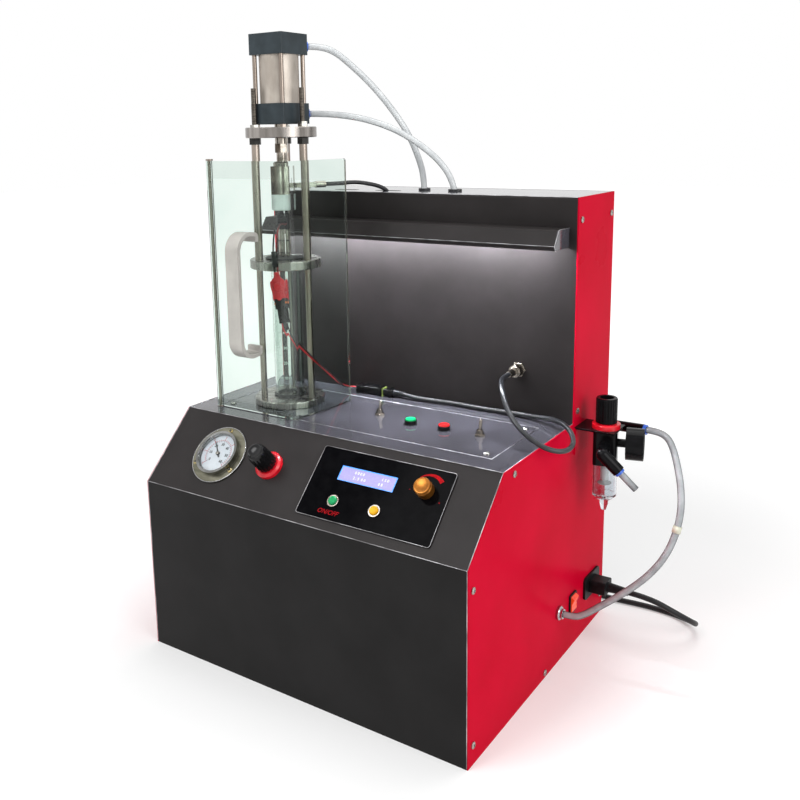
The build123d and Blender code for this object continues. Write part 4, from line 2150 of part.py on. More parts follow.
def power_supply():
    """Boxed power supply on standoffs, slotted along its lid."""
    x = SUPPLY_X - HALF_WIDTH
    y = SUPPLY_Y - HALF_DEPTH
    place = Pos(x, y, 0)
    bottom = SHEET + SUPPLY_LIFT
    top = bottom + SUPPLY_HEIGHT
    box = slab_about(place, SUPPLY_WIDTH, SUPPLY_LENGTH, 0, bottom, top)
    pitch = SUPPLY_LENGTH / (SUPPLY_SLOTS + 3)
    for index in range(SUPPLY_SLOTS):
        middle = (index - (SUPPLY_SLOTS - 1) / 2) * pitch
        slot = slab(
            place,
            (-SUPPLY_WIDTH / 3, middle - SUPPLY_SLOT / 2),
            (SUPPLY_WIDTH / 3, middle + SUPPLY_SLOT / 2),
            top - SUPPLY_SLOT,
            top + OVERRUN,
            0,
        )
        box = box - slot
    terminal = slab(
        place,
        (-SUPPLY_WIDTH / 2, -SUPPLY_LENGTH / 2 - SUPPLY_TERMINAL),
        (SUPPLY_WIDTH / 2, -SUPPLY_LENGTH / 2),
        bottom,
        bottom + SUPPLY_HEIGHT / 2,
        0,
    )
    box = box + terminal
    for x_side in (-1, 1):
        for y_side in (-1, 1):
            foot = place * Pos(x_side * SUPPLY_WIDTH / 3, y_side * SUPPLY_LENGTH / 3, 0)
            box = box + bar(foot, SUPPLY_LIFT, SHEET, bottom)
    return box


NODES = {
    "base_pan": base_pan,
    "front_shell": front_shell,
    "column_shell": column_shell,
    "left_side_panel": lambda: side_panel(-1),
    "right_side_panel": lambda: side_panel(1),
    "rear_cover": rear_cover,
    "cover_screws": cover_screws,
    "deck_plate": deck_plate,
    "control_panel": control_panel,
    "display_module": display_module,
    "speed_knob": speed_knob,
    "on_off_button": on_off_button,
    "count_button": count_button,
    "gauge_case": gauge_case,
    "gauge_needle": gauge_needle,
    "gauge_glass": gauge_glass,
    "regulator_body": regulator_body,
    "regulator_knob": regulator_knob,
    "switch_bodies": switch_bodies,
    "toggle_lever_left": lambda: toggle_lever("toggle_left"),
    "toggle_lever_right": lambda: toggle_lever("toggle_right"),
    "green_button": lambda: deck_button("green"),
    "red_button": lambda: deck_button("red"),
    "base_disc": base_disc,
    "tower_rods": tower_rods,
    "middle_ring": middle_ring,
    "top_plate": top_plate,
    "glass_cylinder": glass_cylinder,
    "rubber_seals": rubber_seals,
    "cylinder_caps": cylinder_caps,
    "cylinder_barrel": cylinder_barrel,
    "tie_rods": tie_rods,
    "piston_rod": piston_rod,
    "clamp_head": clamp_head,
    "clamp_collar": clamp_collar,
    "injector": injector,
    "air_hoses": air_hoses,
    "fuel_hose": fuel_hose,
    "supply_hose": supply_hose,
    "harness_leads": harness_leads,
    "harness_connectors": harness_connectors,
    "mains_lead": mains_lead,
    "mains_coil": mains_coil,
    "mains_lead_ends": mains_lead_ends,
    "guard_pane": guard_pane,
    "guard_handle": guard_handle,
    "guard_hinge_pin": guard_hinge_pin,
    "lamp_hood": lamp_hood,
    "power_inlet": power_inlet,
    "power_rocker": power_rocker,
    "hose_port": hose_port,
    "filter_body": filter_body,
    "filter_knob": filter_knob,
    "filter_bowl": filter_bowl,
    "filter_gauge": filter_gauge,
    "filter_needle": filter_needle,
    "valve_cap": valve_cap,
    "fuel_tank": fuel_tank,
    "pump_unit": pump_unit,
    "power_supply": power_supply,
}

os.makedirs("parts", exist_ok=True)
for name, make in NODES.items():
    made = make()
    solids = made if isinstance(made, list) else [made]
    flat = [solid for piece in solids for solid in piece.solids()]
    export_step(Compound(children=flat), os.path.join("parts", name + ".step"))
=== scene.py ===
# %% [markdown]
# # Fuel injector tester for the workshop bench
# The imported model is the frame that every new piece is laid against. The dressed model may not
# outgrow it.

# %% Frame
from math import atan2, cos, hypot, radians, sin

import bmesh
import bpy
from mathutils import Matrix, Quaternion, Vector


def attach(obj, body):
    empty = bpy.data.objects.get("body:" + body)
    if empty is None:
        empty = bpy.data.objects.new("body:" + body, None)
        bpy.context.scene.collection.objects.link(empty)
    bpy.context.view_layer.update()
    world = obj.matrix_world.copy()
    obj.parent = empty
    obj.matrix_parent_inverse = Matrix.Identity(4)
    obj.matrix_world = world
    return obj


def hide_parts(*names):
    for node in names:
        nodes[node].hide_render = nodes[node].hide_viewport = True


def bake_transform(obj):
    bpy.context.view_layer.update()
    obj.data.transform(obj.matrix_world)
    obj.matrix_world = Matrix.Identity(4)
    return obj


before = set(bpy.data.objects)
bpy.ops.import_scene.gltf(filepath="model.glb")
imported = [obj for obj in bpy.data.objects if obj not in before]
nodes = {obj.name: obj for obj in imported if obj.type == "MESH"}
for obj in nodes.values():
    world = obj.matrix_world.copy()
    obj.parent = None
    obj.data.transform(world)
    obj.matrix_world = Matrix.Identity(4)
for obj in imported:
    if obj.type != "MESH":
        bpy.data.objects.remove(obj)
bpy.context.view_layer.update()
MM = 0.001

# %% [markdown]
# ## Camera
# The photograph was taken from the right of the front and a little above the deck. The lens could be
# guessed by eye, but here it was solved from the cabinet's corners. A small shift of the lens stands the
# tester off the middle of the frame, as there.

# %% Camera
def add_object(name, data):
    """New object in the scene."""
    made = bpy.data.objects.new(name, data)
    bpy.context.collection.objects.link(made)
    return made


EYE = Vector((0.6147, -0.9233, 0.6402))
LOOK = Vector((-0.5549, 0.8104, -0.1881))
ROLL = radians(-1.05)
lens = bpy.data.cameras.new("studio_camera")
lens.lens = 41.23
lens.sensor_width = 36
lens.shift_x = 0.0399
lens.shift_y = -0.1167
lens.clip_start = 0.05
camera = add_object("studio_camera", lens)
camera.rotation_mode = "QUATERNION"
camera.rotation_quaternion = LOOK.to_track_quat("-Z", "Y") @ Quaternion((0, 0, 1), ROLL)
camera.location = EYE
bpy.context.scene.camera = camera
bpy.context.scene.view_settings.view_transform = "Standard"
print("camera stands", round(EYE.length, 3), "m from the middle of the base")

# %% [markdown]
# ## Cords and hoses
# A hose keeps its length and lies in smooth curves, so each one is a NURBS spline through the same
# points as its solid. Sweeping a circle along a curve is the quickest tube there is. Where
# light has to pass through the wall, the swept tube becomes a mesh and gets a bore with Solidify.

# %% Cord helpers
def mm(*values):
    """A point given in millimetres, in metres."""
    return Vector(values) * MM


def spline_curve(name, route, radius, turns=6, rings=6, caps=True, kind="NURBS"):
    """Curve of one open spline along points in millimetres."""
    curve = bpy.data.curves.new(name, "CURVE")
    curve.dimensions = "3D"
    spline = curve.splines.new(kind)
    spline.points.add(len(route) - 1)
    for point, place in zip(spline.points, route):
        point.co = (*mm(*place), 1)
    spline.order_u = 3
    spline.use_endpoint_u = True
    curve.resolution_u = turns
    curve.bevel_depth = radius * MM
    curve.bevel_resolution = rings
    curve.use_fill_caps = caps
    return curve


def swept_mesh(curve):
    """The mesh that a curve makes."""
    holder = add_object("holder", curve)
    bpy.context.view_layer.update()
    mesh = bpy.data.meshes.new_from_object(holder)
    bpy.data.objects.remove(holder)
    return mesh


def centre_line(route, turns=12):
    """Points in metres that the spline through a route passes."""
    mesh = swept_mesh(spline_curve("line", route, 0, turns, 0))
    return [vertex.co.copy() for vertex in mesh.vertices]


def run(points):
    """Length of a line of points."""
    return sum((after - before).length for before, after in zip(points, points[1:]))


def own(name, data, body, slot, *materials):
    """Make mesh or curve data a piece of the tester."""
    for material in materials:
        data.materials.append(material)
    thing = add_object(name, data)
    if body:
        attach(thing, body)
    return thing


print("100 mm along a line is", round(run([mm(0, 0, 0), mm(100, 0, 0)]), 3), "m")

# %% [markdown]
# ## Finishes
# Paint, brushed metal and moulded plastic are all one recipe with other numbers: a cloudy pattern
# shifts the colour a little, the same pattern shifts the gloss, and a fine one raises the surface.
# Image textures could do this too, but a procedural recipe stays sharp at any distance and follows
# Object coordinates, so it doesn't move when a piece does. The Bevel node rounds hard edges for light.

# %% Finish recipe
def paint(code):
    """Screen colour, written as six hex digits, made linear."""
    share = [value / 255 for value in bytes.fromhex(code)]
    return (*(((c + 0.055) / 1.055) ** 2.4 if c > 0.04 else c / 12.92 for c in share), 1)


def feed(node, **inputs):
    """Set a node's inputs, where an underscore stands for a space."""
    for socket, value in inputs.items():
        node.inputs[socket.replace("_", " ")].default_value = value
    return node


def add_node(tree, kind, **inputs):
    """New shader node with inputs set."""
    return feed(tree.nodes.new(f"ShaderNode{kind}"), **inputs)


def set_ramp(ramp, *stops):
    """Give the two stops of a colour ramp their positions and linear colours."""
    for element, (position, colour) in zip(ramp.color_ramp.elements, stops):
        element.position = position
        element.color = colour


TOOTH_HEIGHT = 0.1 * MM
CLOUD_STOPS = 0.35, 0.65


def finish(
    name, dark, light, rough, grain=40, streak=(1, 1, 1), relief=0.15, fine=900, edge=0, shine=0.5,
    **extra,
):
    """Material whose colour, gloss and surface vary over the piece."""
    material = bpy.data.materials.new(f"{name}_finish")
    material.use_nodes = True
    tree = material.node_tree
    join = tree.links.new
    shader = tree.nodes["Principled BSDF"]
    place = add_node(tree, "TexCoord")
    stretch = add_node(tree, "Mapping", Scale=streak)
    cloud = add_node(tree, "TexNoise", Scale=grain, Detail=5)
    shades = add_node(tree, "ValToRGB")
    set_ramp(shades, *zip(CLOUD_STOPS, (paint(dark), paint(light))))
    gloss = add_node(tree, "MapRange", To_Min=rough[0], To_Max=rough[1])
    tooth = add_node(tree, "TexNoise", Scale=fine)
    bump = add_node(tree, "Bump", Strength=relief, Distance=TOOTH_HEIGHT)
    join(place.outputs["Object"], stretch.inputs["Vector"])
    for noise in (cloud, tooth):
        join(stretch.outputs["Vector"], noise.inputs["Vector"])
    join(cloud.outputs["Fac"], shades.inputs["Fac"])
    join(shades.outputs["Color"], shader.inputs["Base Color"])
    join(cloud.outputs["Fac"], gloss.inputs["Value"])
    join(gloss.outputs["Result"], shader.inputs["Roughness"])
    join(tooth.outputs["Fac"], bump.inputs["Height"])
    join(bump.outputs["Normal"], shader.inputs["Normal"])
    if edge:
        rounded = add_node(tree, "Bevel", Radius=edge * MM)
        rounded.samples = 4
        join(rounded.outputs["Normal"], bump.inputs["Normal"])
    feed(shader, Specular_IOR_Level=shine, **extra)
    return material


def lit(code, strength):
    """Facts of a finish that gives light of its own."""
    return {"Emission_Color": paint(code), "Emission_Strength": strength}


METAL = {"Metallic": 1.0}
print("half of screen white is", round(paint("808080")[0], 3), "in linear light")

# %% [markdown]
# The sheet metal is powder coated. The front and the column are satin charcoal, the deck is the same
# paint polished almost to a mirror with a lighter, bluer tone as painted sheen, and the sides are crimson
# with a soft orange-peel surface. The upright front gets a deeper charcoal than the slope as painted
# shade, and the bright edge beads are worn bare metal and painted highlight.

# %% Paints
charcoal = finish(
    "charcoal", "282525", "2f2c2c", (0.34, 0.46), 14, relief=0.3, fine=1500, edge=0.8, shine=0.12
)
# Painted shade: a darker copy of the charcoal for the upright front, which less light reaches.
charcoal_painted_shade = finish(
    "charcoal_painted_shade", "1d1c1c", "232222", (0.34, 0.46), 14, relief=0.3, fine=1500, edge=0.8, shine=0.1
)
# Real polish on the charcoal, with a lighter, bluer tone that is painted sheen from the pale
# surroundings.
deck_polish_and_sheen = finish(
    "charcoal_gloss", "3d3c41", "4c4b52", (0.07, 0.15), 18, relief=0.08, fine=700, edge=0.6, shine=0.6,
    Coat_Weight=0.2,
)
crimson = finish(
    "crimson", "c30326", "cf072e", (0.24, 0.34), 9, relief=0.15, fine=420, edge=0.8, shine=0.008
)
panel_gloss = finish(
    "panel_gloss", "060608", "0c0c0e", (0.06, 0.14), 90, relief=0.05, edge=0.4, shine=0.015
)
red_print = finish("red_print", "9e0610", "b40e18", (0.35, 0.5), 300, shine=0.05)
blue_grey = finish("blue_grey", "2d3539", "384146", (0.32, 0.42), 60, relief=0.25, edge=0.9, shine=0.2)
zinc_screw = finish("zinc_screw", "888680", "b2b0aa", (0.2, 0.34), 300, edge=0.3, **METAL)
# Painted shade for the hollows of screw recesses and sockets.
recess_shade = finish("screw_recess", "161514", "302e2c", (0.5, 0.7), 400)
# Bright bead metal: worn bare edges, and partly painted highlight along folds and seams.
wear_and_highlight = finish("wear_and_highlight", "767476", "c4c3c6", (0.25, 0.4), 55, Metallic=0.7)
print(len(bpy.data.materials), "paints")

# %% [markdown]
# Turned and drawn steel carries fine lines. A noise that is squeezed hard along one axis gives them
# without any picture: along the rods it is stretched upwards, and round the discs it makes the upright
# bands that the bright rims show.

# %% Metals
turned_steel = finish(
    "turned_steel", "706b66", "b0aaa5", (0.2, 0.34), 26, (3, 3, 0.12), 0.25, edge=0.5, **METAL
)
rod_steel = finish(
    "rod_steel", "7c7168", "a4988e", (0.22, 0.36), 90, (1, 1, 0.06), 0.2, edge=0.3, **METAL
)
barrel_alloy = finish(
    "barrel_alloy", "9c948b", "b8b0a7", (0.42, 0.56), 55, (1, 1, 0.4), 0.3, 600, **METAL
)
nickel = finish("nickel", "766f66", "b2aba2", (0.14, 0.28), 80, edge=0.4, **METAL)
chrome = finish("chrome", "a8a8aa", "c6c6c8", (0.05, 0.12), 60, edge=0.4, **METAL)
stainless = finish("stainless", "5c5b4e", "7c7a6c", (0.26, 0.4), 40, (1, 5, 1), 0.3, edge=0.5, **METAL)
bezel_steel = finish("bezel_steel", "787876", "9c9c9a", (0.08, 0.16), 40, edge=0.4, **METAL)
brass = finish("brass", "94865c", "b8aa7e", (0.2, 0.34), 220, edge=0.3, **METAL)
gold = finish("gold", "965a1e", "b87830", (0.24, 0.36), 120, relief=0.2, edge=0.3, Metallic=0.8)
thread_steel = finish("thread_steel", "3a3631", "68625a", (0.36, 0.5), 160, (1, 1, 9), 0.6, 700, **METAL)
black_oxide = finish("black_oxide", "181716", "2c2a28", (0.3, 0.5), 200, edge=0.4, Metallic=0.6)
print(len(bpy.data.materials), "paints and metals")

# %% [markdown]
# Plastics and rubber are told apart by gloss more than by colour: the filter is shiny, the hoses and
# the cable are soft, and the handle is a satin white. A lens colour behind light is given as emission.

# %% Plastics and rubber
black_gloss = finish("black_gloss", "080809", "111113", (0.1, 0.2), 80, relief=0.1, edge=0.6, shine=0.09)
moulded_black = finish(
    "moulded_black", "09090a", "141416", (0.12, 0.24), 60, relief=0.1, edge=0.6, shine=0.3
)
black_satin = finish(
    "black_satin", "0d0d0e", "1a1a1c", (0.3, 0.46), 120, relief=0.3, edge=0.5, shine=0.12
)
rubber = finish("rubber", "141416", "222225", (0.4, 0.55), 150, relief=0.25, edge=0.3)
cable_skin = finish("cable_skin", "18191c", "282a2e", (0.24, 0.36), 60, relief=0.15)
lead_skin = finish("lead_skin", "0e0e0f", "1a1a1c", (0.35, 0.5), 60, relief=0.25, shine=0.3)
red_skin = finish("red_skin", "c6101e", "e22832", (0.3, 0.42), 90)
dark_red_skin = finish("dark_red_skin", "601014", "82181c", (0.3, 0.42), 90)
white_handle = finish("white_handle", "b4b1ab", "c6c3bc", (0.36, 0.46), 30, relief=0.15, edge=0.8)
white_collar = finish("white_collar", "c8cece", "dee2e2", (0.35, 0.45), 60, edge=0.5)
cream = finish("cream_clip", "c6c6b2", "dcdcca", (0.4, 0.5), 90, edge=0.3)
red_vinyl = finish("red_vinyl", "ca0a1e", "e21a2c", (0.26, 0.36), 70, edge=0.7, Coat_Weight=0.2)
red_ring = finish("red_ring", "ce0c1e", "e81a2c", (0.2, 0.3), 90, edge=0.5)
blue_collet = finish("blue_collet", "1c56c4", "3070de", (0.25, 0.36), 120, edge=0.3)
yellow_green = finish("yellow_green", "687836", "7e8e46", (0.4, 0.5), 120)
orange_seal = finish("orange_seal", "d05c1e", "e6742c", (0.4, 0.5), 120)
green_cap, jade_cap, yellow_cap, red_cap = (
    finish(name, dark, light, (0.2, 0.3), 90, edge=0.4, shine=0.15) for name, dark, light in (
        ("green_cap", "10a860", "1ec474"), ("jade_cap", "149254", "22ac68"),
        ("yellow_cap", "e4a40c", "f6ba22"), ("red_cap", "cc161a", "e22828"),
    )
)
dial_white = finish("dial_white", "ced2d8", "dcdfe4", (0.45, 0.55), 40)
dial_black = finish("dial_black", "0a0a0c", "141416", (0.4, 0.5), 300, shine=0.2)
dial_red = finish("dial_red", "aa1820", "be282e", (0.4, 0.5), 300)
inner_steel = finish("inner_steel", "787a7c", "a0a2a4", (0.35, 0.5), 60, edge=0.4, **METAL)
tank_plastic = finish("tank_plastic", "c4c8c4", "d8dbd6", (0.4, 0.5), 30, edge=0.5)
circuit = finish("circuit_board", "104a2c", "1c603a", (0.3, 0.45), 200)
lamp_glow = finish("lamp_glow", "ecf0f6", "fafcff", (0.4, 0.5), 60, **lit("f4f7ff", 180))
rocker_glow = finish("rocker_glow", "d62212", "ec3c1c", (0.2, 0.3), 90, edge=0.3, **lit("ff541e", 0.35))
screen_glow, screen_edge, screen_digit = (
    finish(name, dark, light, (0.3, 0.4), 500, **lit(glow, strength))
    for name, dark, light, glow, strength in (
        ("screen_glow", "8078d6", "8e88e2", "8c86ec", 0.75),
        ("screen_edge", "3c82ec", "5aaafa", "4696ff", 0.9),
        ("screen_digit", "c4c8e8", "d6d8f0", "ced0f0", 0.7),
    )
)
print(len(bpy.data.materials), "opaque finishes")

# %% [markdown]
# Clear pieces pass light through a real wall. The guard is acrylic with a green cast that its edges
# gather, the measuring glass is nearly colourless, and the hoses are milky with age.

# %% Clear materials
guard_acrylic, tube_glass, dial_glass, bowl_clear = (
    finish(name, dark, light, rough, grain, relief=0, IOR=bend, Transmission_Weight=1.0)
    for name, dark, light, rough, grain, bend in (
        ("guard_acrylic", "dceae3", "e6f1eb", (0.0, 0.03), 12, 1.35),
        ("tube_glass", "e2eae6", "ecf2ef", (0.0, 0.02), 30, 1.3),
        ("dial_glass", "f0f4f6", "fafcfc", (0.0, 0.03), 30, 1.2),
        ("bowl_clear", "d8dee2", "e8ecf0", (0.02, 0.06), 40, 1.35),
    )
)


def paint_outline_shade(material, rim, start=0.3):
    """Darken a clear tube towards its outline, where the eye looks along the wall: painted shade for the
    dark edges that refraction gives.
    """
    tree = material.node_tree
    base = tree.nodes["Principled BSDF"].inputs["Base Color"]
    skin = base.links[0].from_socket
    slope = add_node(tree, "LayerWeight", Blend=0.36)
    edge = add_node(tree, "ValToRGB")
    set_ramp(edge, (start, (1, 1, 1, 1)), (0.72, paint(rim)))
    outline_shade = add_node(tree, "Mix", Factor=1)
    outline_shade.data_type = "RGBA"
    outline_shade.blend_type = "MULTIPLY"
    tree.links.new(slope.outputs["Facing"], edge.inputs["Fac"])
    tree.links.new(skin, outline_shade.inputs["A"])
    tree.links.new(edge.outputs["Color"], outline_shade.inputs["B"])
    tree.links.new(outline_shade.outputs["Result"], base)
    return material


# The hoses' dark outlines are painted shade, multiplied into their colour.
hose_clear = paint_outline_shade(finish(
    "hose_clear", "a0a5a8", "c0c4c7", (0.12, 0.2), 60, relief=0, IOR=1.3, Transmission_Weight=0.15
), "22282e", 0.14)
hose_milky = paint_outline_shade(finish("hose_milky", "ccd0d2", "e2e5e6", (0.14, 0.24), 60, relief=0), "545c62")
print(len(bpy.data.materials), "finishes")

# %% [markdown]
# ## Air hoses and fuel hose
# Two milky hoses bow from the air cylinder to the slots in the column's top, and a black fuel hose
# follows the clamp's arm. They are swept meshes with a bore, because an end could be looked into.

# %% Hoses
def as_cord(thing, route, radius, replaced, **facts):
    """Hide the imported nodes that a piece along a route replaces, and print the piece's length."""
    line = centre_line(route)
    if thing.type == "MESH":
        facts["path"] = line
    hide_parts(*replaced.split())
    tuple(line[0])
    run(line)
    print(thing.name, round(run(line) / MM), "mm long")
    return thing


def hose(name, route, radius, wall, body, slot, material, replaced, **facts):
    """Mesh tube along a route, with a bore."""
    mesh = swept_mesh(spline_curve(name, route, radius, 10, 5, False))
    mesh.shade_smooth()
    tube = own(name, mesh, body, slot, material)
    bore = tube.modifiers.new("bore", "SOLIDIFY")
    bore.thickness = wall * MM
    bore.offset = -1
    return as_cord(tube, route, radius, replaced, **facts)


UPPER_AIR = [
    (-121.19, 26.87, 746.4), (-109.49, 37.78, 746.4), (-96, 50.5, 740), (-83, 64, 725), (-65, 82, 702),
    (-45, 101, 670), (-27, 117.5, 634), (-16.5, 127.7, 597), (-13.5, 130.5, 577), (-12.3, 131.7, 548),
]
LOWER_AIR = [
    (-120.05, 25.46, 663.2), (-100.39, 39.22, 663.2), (-62, 63.5, 656.5), (-27, 86, 641.5),
    (2, 104.5, 619), (22, 117, 597.5), (34, 124.5, 574), (38.7, 127.6, 547),
]
FUEL = [
    (-101.02, 27.49, 574.5), (-90.43, 44.45, 574.5), (-79.5, 64, 575.3), (-71.5, 80, 573),
    (-63, 95.3, 569.2), (-56.3, 107, 562.5), (-53.3, 112.2, 550), (-52.8, 113, 534),
]
SUPPLY = [
    (294.18, 132.54, 281.56), (307.07, 130.96, 282.24), (321, 124.5, 280), (331, 113.5, 272.5),
    (341, 99, 258), (350, 86, 236), (354, 76, 211.5), (351.5, 67, 186), (343, 60, 160.5),
    (328, 55.5, 137), (309, 51, 116.5), (290, 47.5, 99.5), (272, 44, 84.5), (257, 40.5, 72.5),
    (245, 39, 66.5), (232, 39, 66.5),
]
TAUT = {"far_end": "object", "stiffness": "stiff", "lay": "taut"}
HANGING = {"far_end": "object", "stiffness": "medium", "lay": "hanging"}
for name, route in (("upper_air_hose", UPPER_AIR), ("lower_air_hose", LOWER_AIR)):
    hose(name, route, 4, 1.3, "cabinet", "clear_plastic", hose_milky, "air_hoses", **TAUT)
fuel_hose = hose(
    "fuel_hose_tube", FUEL, 2.75, 1, None, "black_rubber", rubber, "fuel_hose", **HANGING
)
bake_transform(fuel_hose)

# %% [markdown]
# The supply hose hangs in one wide bow beside the right panel, from the filter's tee to the port low
# down, with a cream clip where the photograph has one. A short stub of the same hose waits in the
# filter's elbow.

# %% Supply hose, clip and stub
supply_line = centre_line(SUPPLY)


def mesh_from(name, shape):
    """Mesh made of a bmesh, which is then freed."""
    mesh = bpy.data.meshes.new(name)
    shape.to_mesh(mesh)
    shape.free()
    return mesh


def sleeve(name, line, middle, length, radius, wall, slot, *materials):
    """Short ring swept round part of a line of points."""
    nearest = min(range(len(line)), key=lambda index: (line[index] - middle).length)
    along = (line[nearest + 1] - line[nearest - 1]).normalized()
    shape = bmesh.new()
    bmesh.ops.create_cone(shape, segments=32, radius1=radius * MM, radius2=radius * MM, depth=length * MM)
    turn = Vector((0, 0, 1)).rotation_difference(along).to_matrix().to_4x4()
    bmesh.ops.transform(shape, matrix=Matrix.Translation(line[nearest]) @ turn, verts=shape.verts)
    mesh = mesh_from(name, shape)
    mesh.shade_smooth()
    ring = own(name, mesh, "cabinet", slot, *materials)
    skin = ring.modifiers.new("wall", "SOLIDIFY")
    skin.thickness = wall * MM
    skin.offset = 1
    return ring


clip = sleeve("hose_clip", supply_line, mm(352, 67, 193), 8, 4.1, 0.9, "white_plastic", cream)
hose(
    "supply_hose_tube", SUPPLY, 4, 1.3, "cabinet", "clear_plastic", hose_clear, "supply_hose",
    with_pieces=[clip], **HANGING,
)
ELBOW = mm(266.84, 59.29, 268)
STUB = [mm(278.45, 62.41, 255.98), mm(303.72, 69.18, 229.82)]
half_way = (STUB[0] + STUB[1]) / 2
stub = sleeve(
    "stub_hose", [STUB[0], half_way, STUB[1]], half_way, 37, 2.7, 1.3, "clear_plastic", hose_clear
)
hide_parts("supply_hose")

# %% [markdown]
# ## Electrical leads
# Wires and cables are opaque, so a curve with a round bevel is enough for them, and stays editable.
# Two thin leads go into the red boot, a red and a black wire leave the plug below it, and one black
# cable lies over the deck, loops and rises to the socket in the column.

# %% Leads
def lead(name, route, radius, material, replaced, turns=8, **facts):
    """Curve with a round bevel along a route."""
    wire = own(name, spline_curve(name, route, radius, turns), "cabinet", "black_rubber", material)
    return as_cord(wire, route, radius, replaced, **facts)


LIMP = {"far_end": "object", "stiffness": "limp", "lay": "hanging"}
RED_PIGTAIL = [
    (-121.89, -32.31, 528), (-118.14, -39.37, 528), (-114.8, -47.3, 528.3), (-111.3, -55.5, 522.5),
    (-110.2, -59.3, 511), (-110.9, -60.3, 495), (-110.21, -60.66, 479.6), (-108.78, -61.05, 471.74),
]
BLACK_PIGTAIL = [
    (-125.42, -34.18, 528), (-121.67, -41.25, 528), (-118.5, -49.3, 527.8), (-115, -57.3, 521.8),
    (-113.8, -61.3, 510), (-114.3, -62.4, 494.5), (-113.45, -62.96, 479.12), (-112.02, -63.35, 471.26),
]
RED_WIRE = [
    (-100.38, -66.28, 408.8), (-98.94, -66.67, 400.94), (-97, -61.5, 391.5), (-93, -50, 379),
    (-87, -34.5, 361.5), (-84, -15, 344), (-86, 9, 326), (-90, 27, 313.5), (-92, 39, 306.5),
    (-92, 49.5, 301.5), (-89, 56, 299.5), (-82.68, 59.08, 299), (-74.69, 59.5, 299),
]
BLACK_WIRE = [
    (-97.62, -64.32, 409.2), (-96.19, -64.71, 401.34), (-93.5, -58.5, 391), (-89.5, -46.5, 377),
    (-83.5, -31, 359), (-80, -11.5, 341), (-82, 12, 323.5), (-86.5, 29, 311.5), (-88.7, 38.5, 305.5),
    (-88.8, 47.3, 301), (-86.5, 53, 299.3), (-82.5, 55.68, 299), (-74.51, 56.1, 299),
]
CABLE = [
    (-20.67, 60.63, 299), (-5.69, 61.41, 299), (12, 59, 297.8), (38, 62.5, 296.9), (72, 66, 297.1),
    (110, 64.5, 296.8), (147, 66.5, 297.1), (180, 63, 298.2), (206, 52, 303), (226, 38, 305),
    (243, 22, 301.5), (254, 3, 295.5), (253, -17, 292), (238, -31, 295.5), (218, -35.5, 306),
    (199, -32, 319), (183, -21.5, 332), (170, -6, 344.5), (159.5, 11.5, 350.5), (153.3, 30, 351.5),
    (153.3, 45, 351.5),
]
for name, route, skin in (
    ("red_pigtail", RED_PIGTAIL, dark_red_skin), ("black_pigtail", BLACK_PIGTAIL, rubber),
    ("red_wire", RED_WIRE, red_skin), ("black_wire", BLACK_WIRE, rubber),
):
    lead(name, route, 1, skin, "harness_leads", **LIMP)
lead("tester_cable", CABLE, 2.9, cable_skin, "harness_leads", 10, **LIMP)

# %% [markdown]
# The mains lead falls from its connector to the bench, runs behind the cabinet and is put away in a
# flat coil of two layers, as for storage. The coil could be a separate ring, but a real lead is one
# piece, so its turns are more points of the same spline, laid by a spiral rule.

# %% Mains lead
LEAD = [
    (275, 145, 59), (303, 145, 59), (334, 153, 44), (352, 176, 24), (345, 206, 8), (316, 222, 3.6),
    (276, 224.5, 3.9), (232, 219, 3.7), (190, 219.6, 3.9), (148, 220.5, 3.7), (105, 221, 3.7),
]
COIL_MIDDLE = (67, 268)
COIL_RADIUS = 47
QUARTERS = 22
HALF = QUARTERS / 2
PITCH = 7.7
POINTS_A_QUARTER = 4
for step in range(QUARTERS * POINTS_A_QUARTER + 1):
    quarter = step / POINTS_A_QUARTER
    reach = COIL_RADIUS - PITCH / 4 * (HALF - abs(quarter - HALF))
    angle = radians(-90 - 90 * quarter)
    layer = 3.7 + PITCH * min(max((quarter - HALF + 1) / 2, 0), 1)
    LEAD.append((COIL_MIDDLE[0] + reach * cos(angle), COIL_MIDDLE[1] + reach * sin(angle), layer))
LEAD += [(84, 315, 11.4), (111, 315, 11.4)]
lead(
    "mains_cable", LEAD, 3.5, lead_skin, "mains_lead mains_coil", 5,
    far_end="plug", stiffness="medium", lay="coiled", with_pieces=[nodes["mains_lead_ends"]],
)

# %% [markdown]
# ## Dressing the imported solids
# Most solids already have the right shape, so they stay and only get a finish. Where one solid joins
# parts of different stuff, its faces are told apart by where their middles lie, which needs no cuts.

# %% Dressing helpers
def dress(material, names):
    """Give whole nodes one finish."""
    for name in names.split():
        mesh = nodes[name].data
        mesh.materials.clear()
        mesh.materials.append(material)
        mesh.polygons.foreach_set("material_index", [0] * len(mesh.polygons))
    print(material.name, "on", names)


def patch(name, material, wanted):
    """Give a finish to the faces whose middle, in millimetres, and normal pass a test."""
    mesh = nodes[name].data
    mesh.materials.append(material)
    number = len(mesh.materials) - 1
    faces = [face for face in mesh.polygons if wanted(face.center / MM, face.normal)]
    for face in faces:
        face.material_index = number
    print(name, len(faces), "faces in", material.name)


def near(point, x, y, reach):
    """Whether a point is within reach of an upright axis."""
    return hypot(point.x - x, point.y - y) < reach


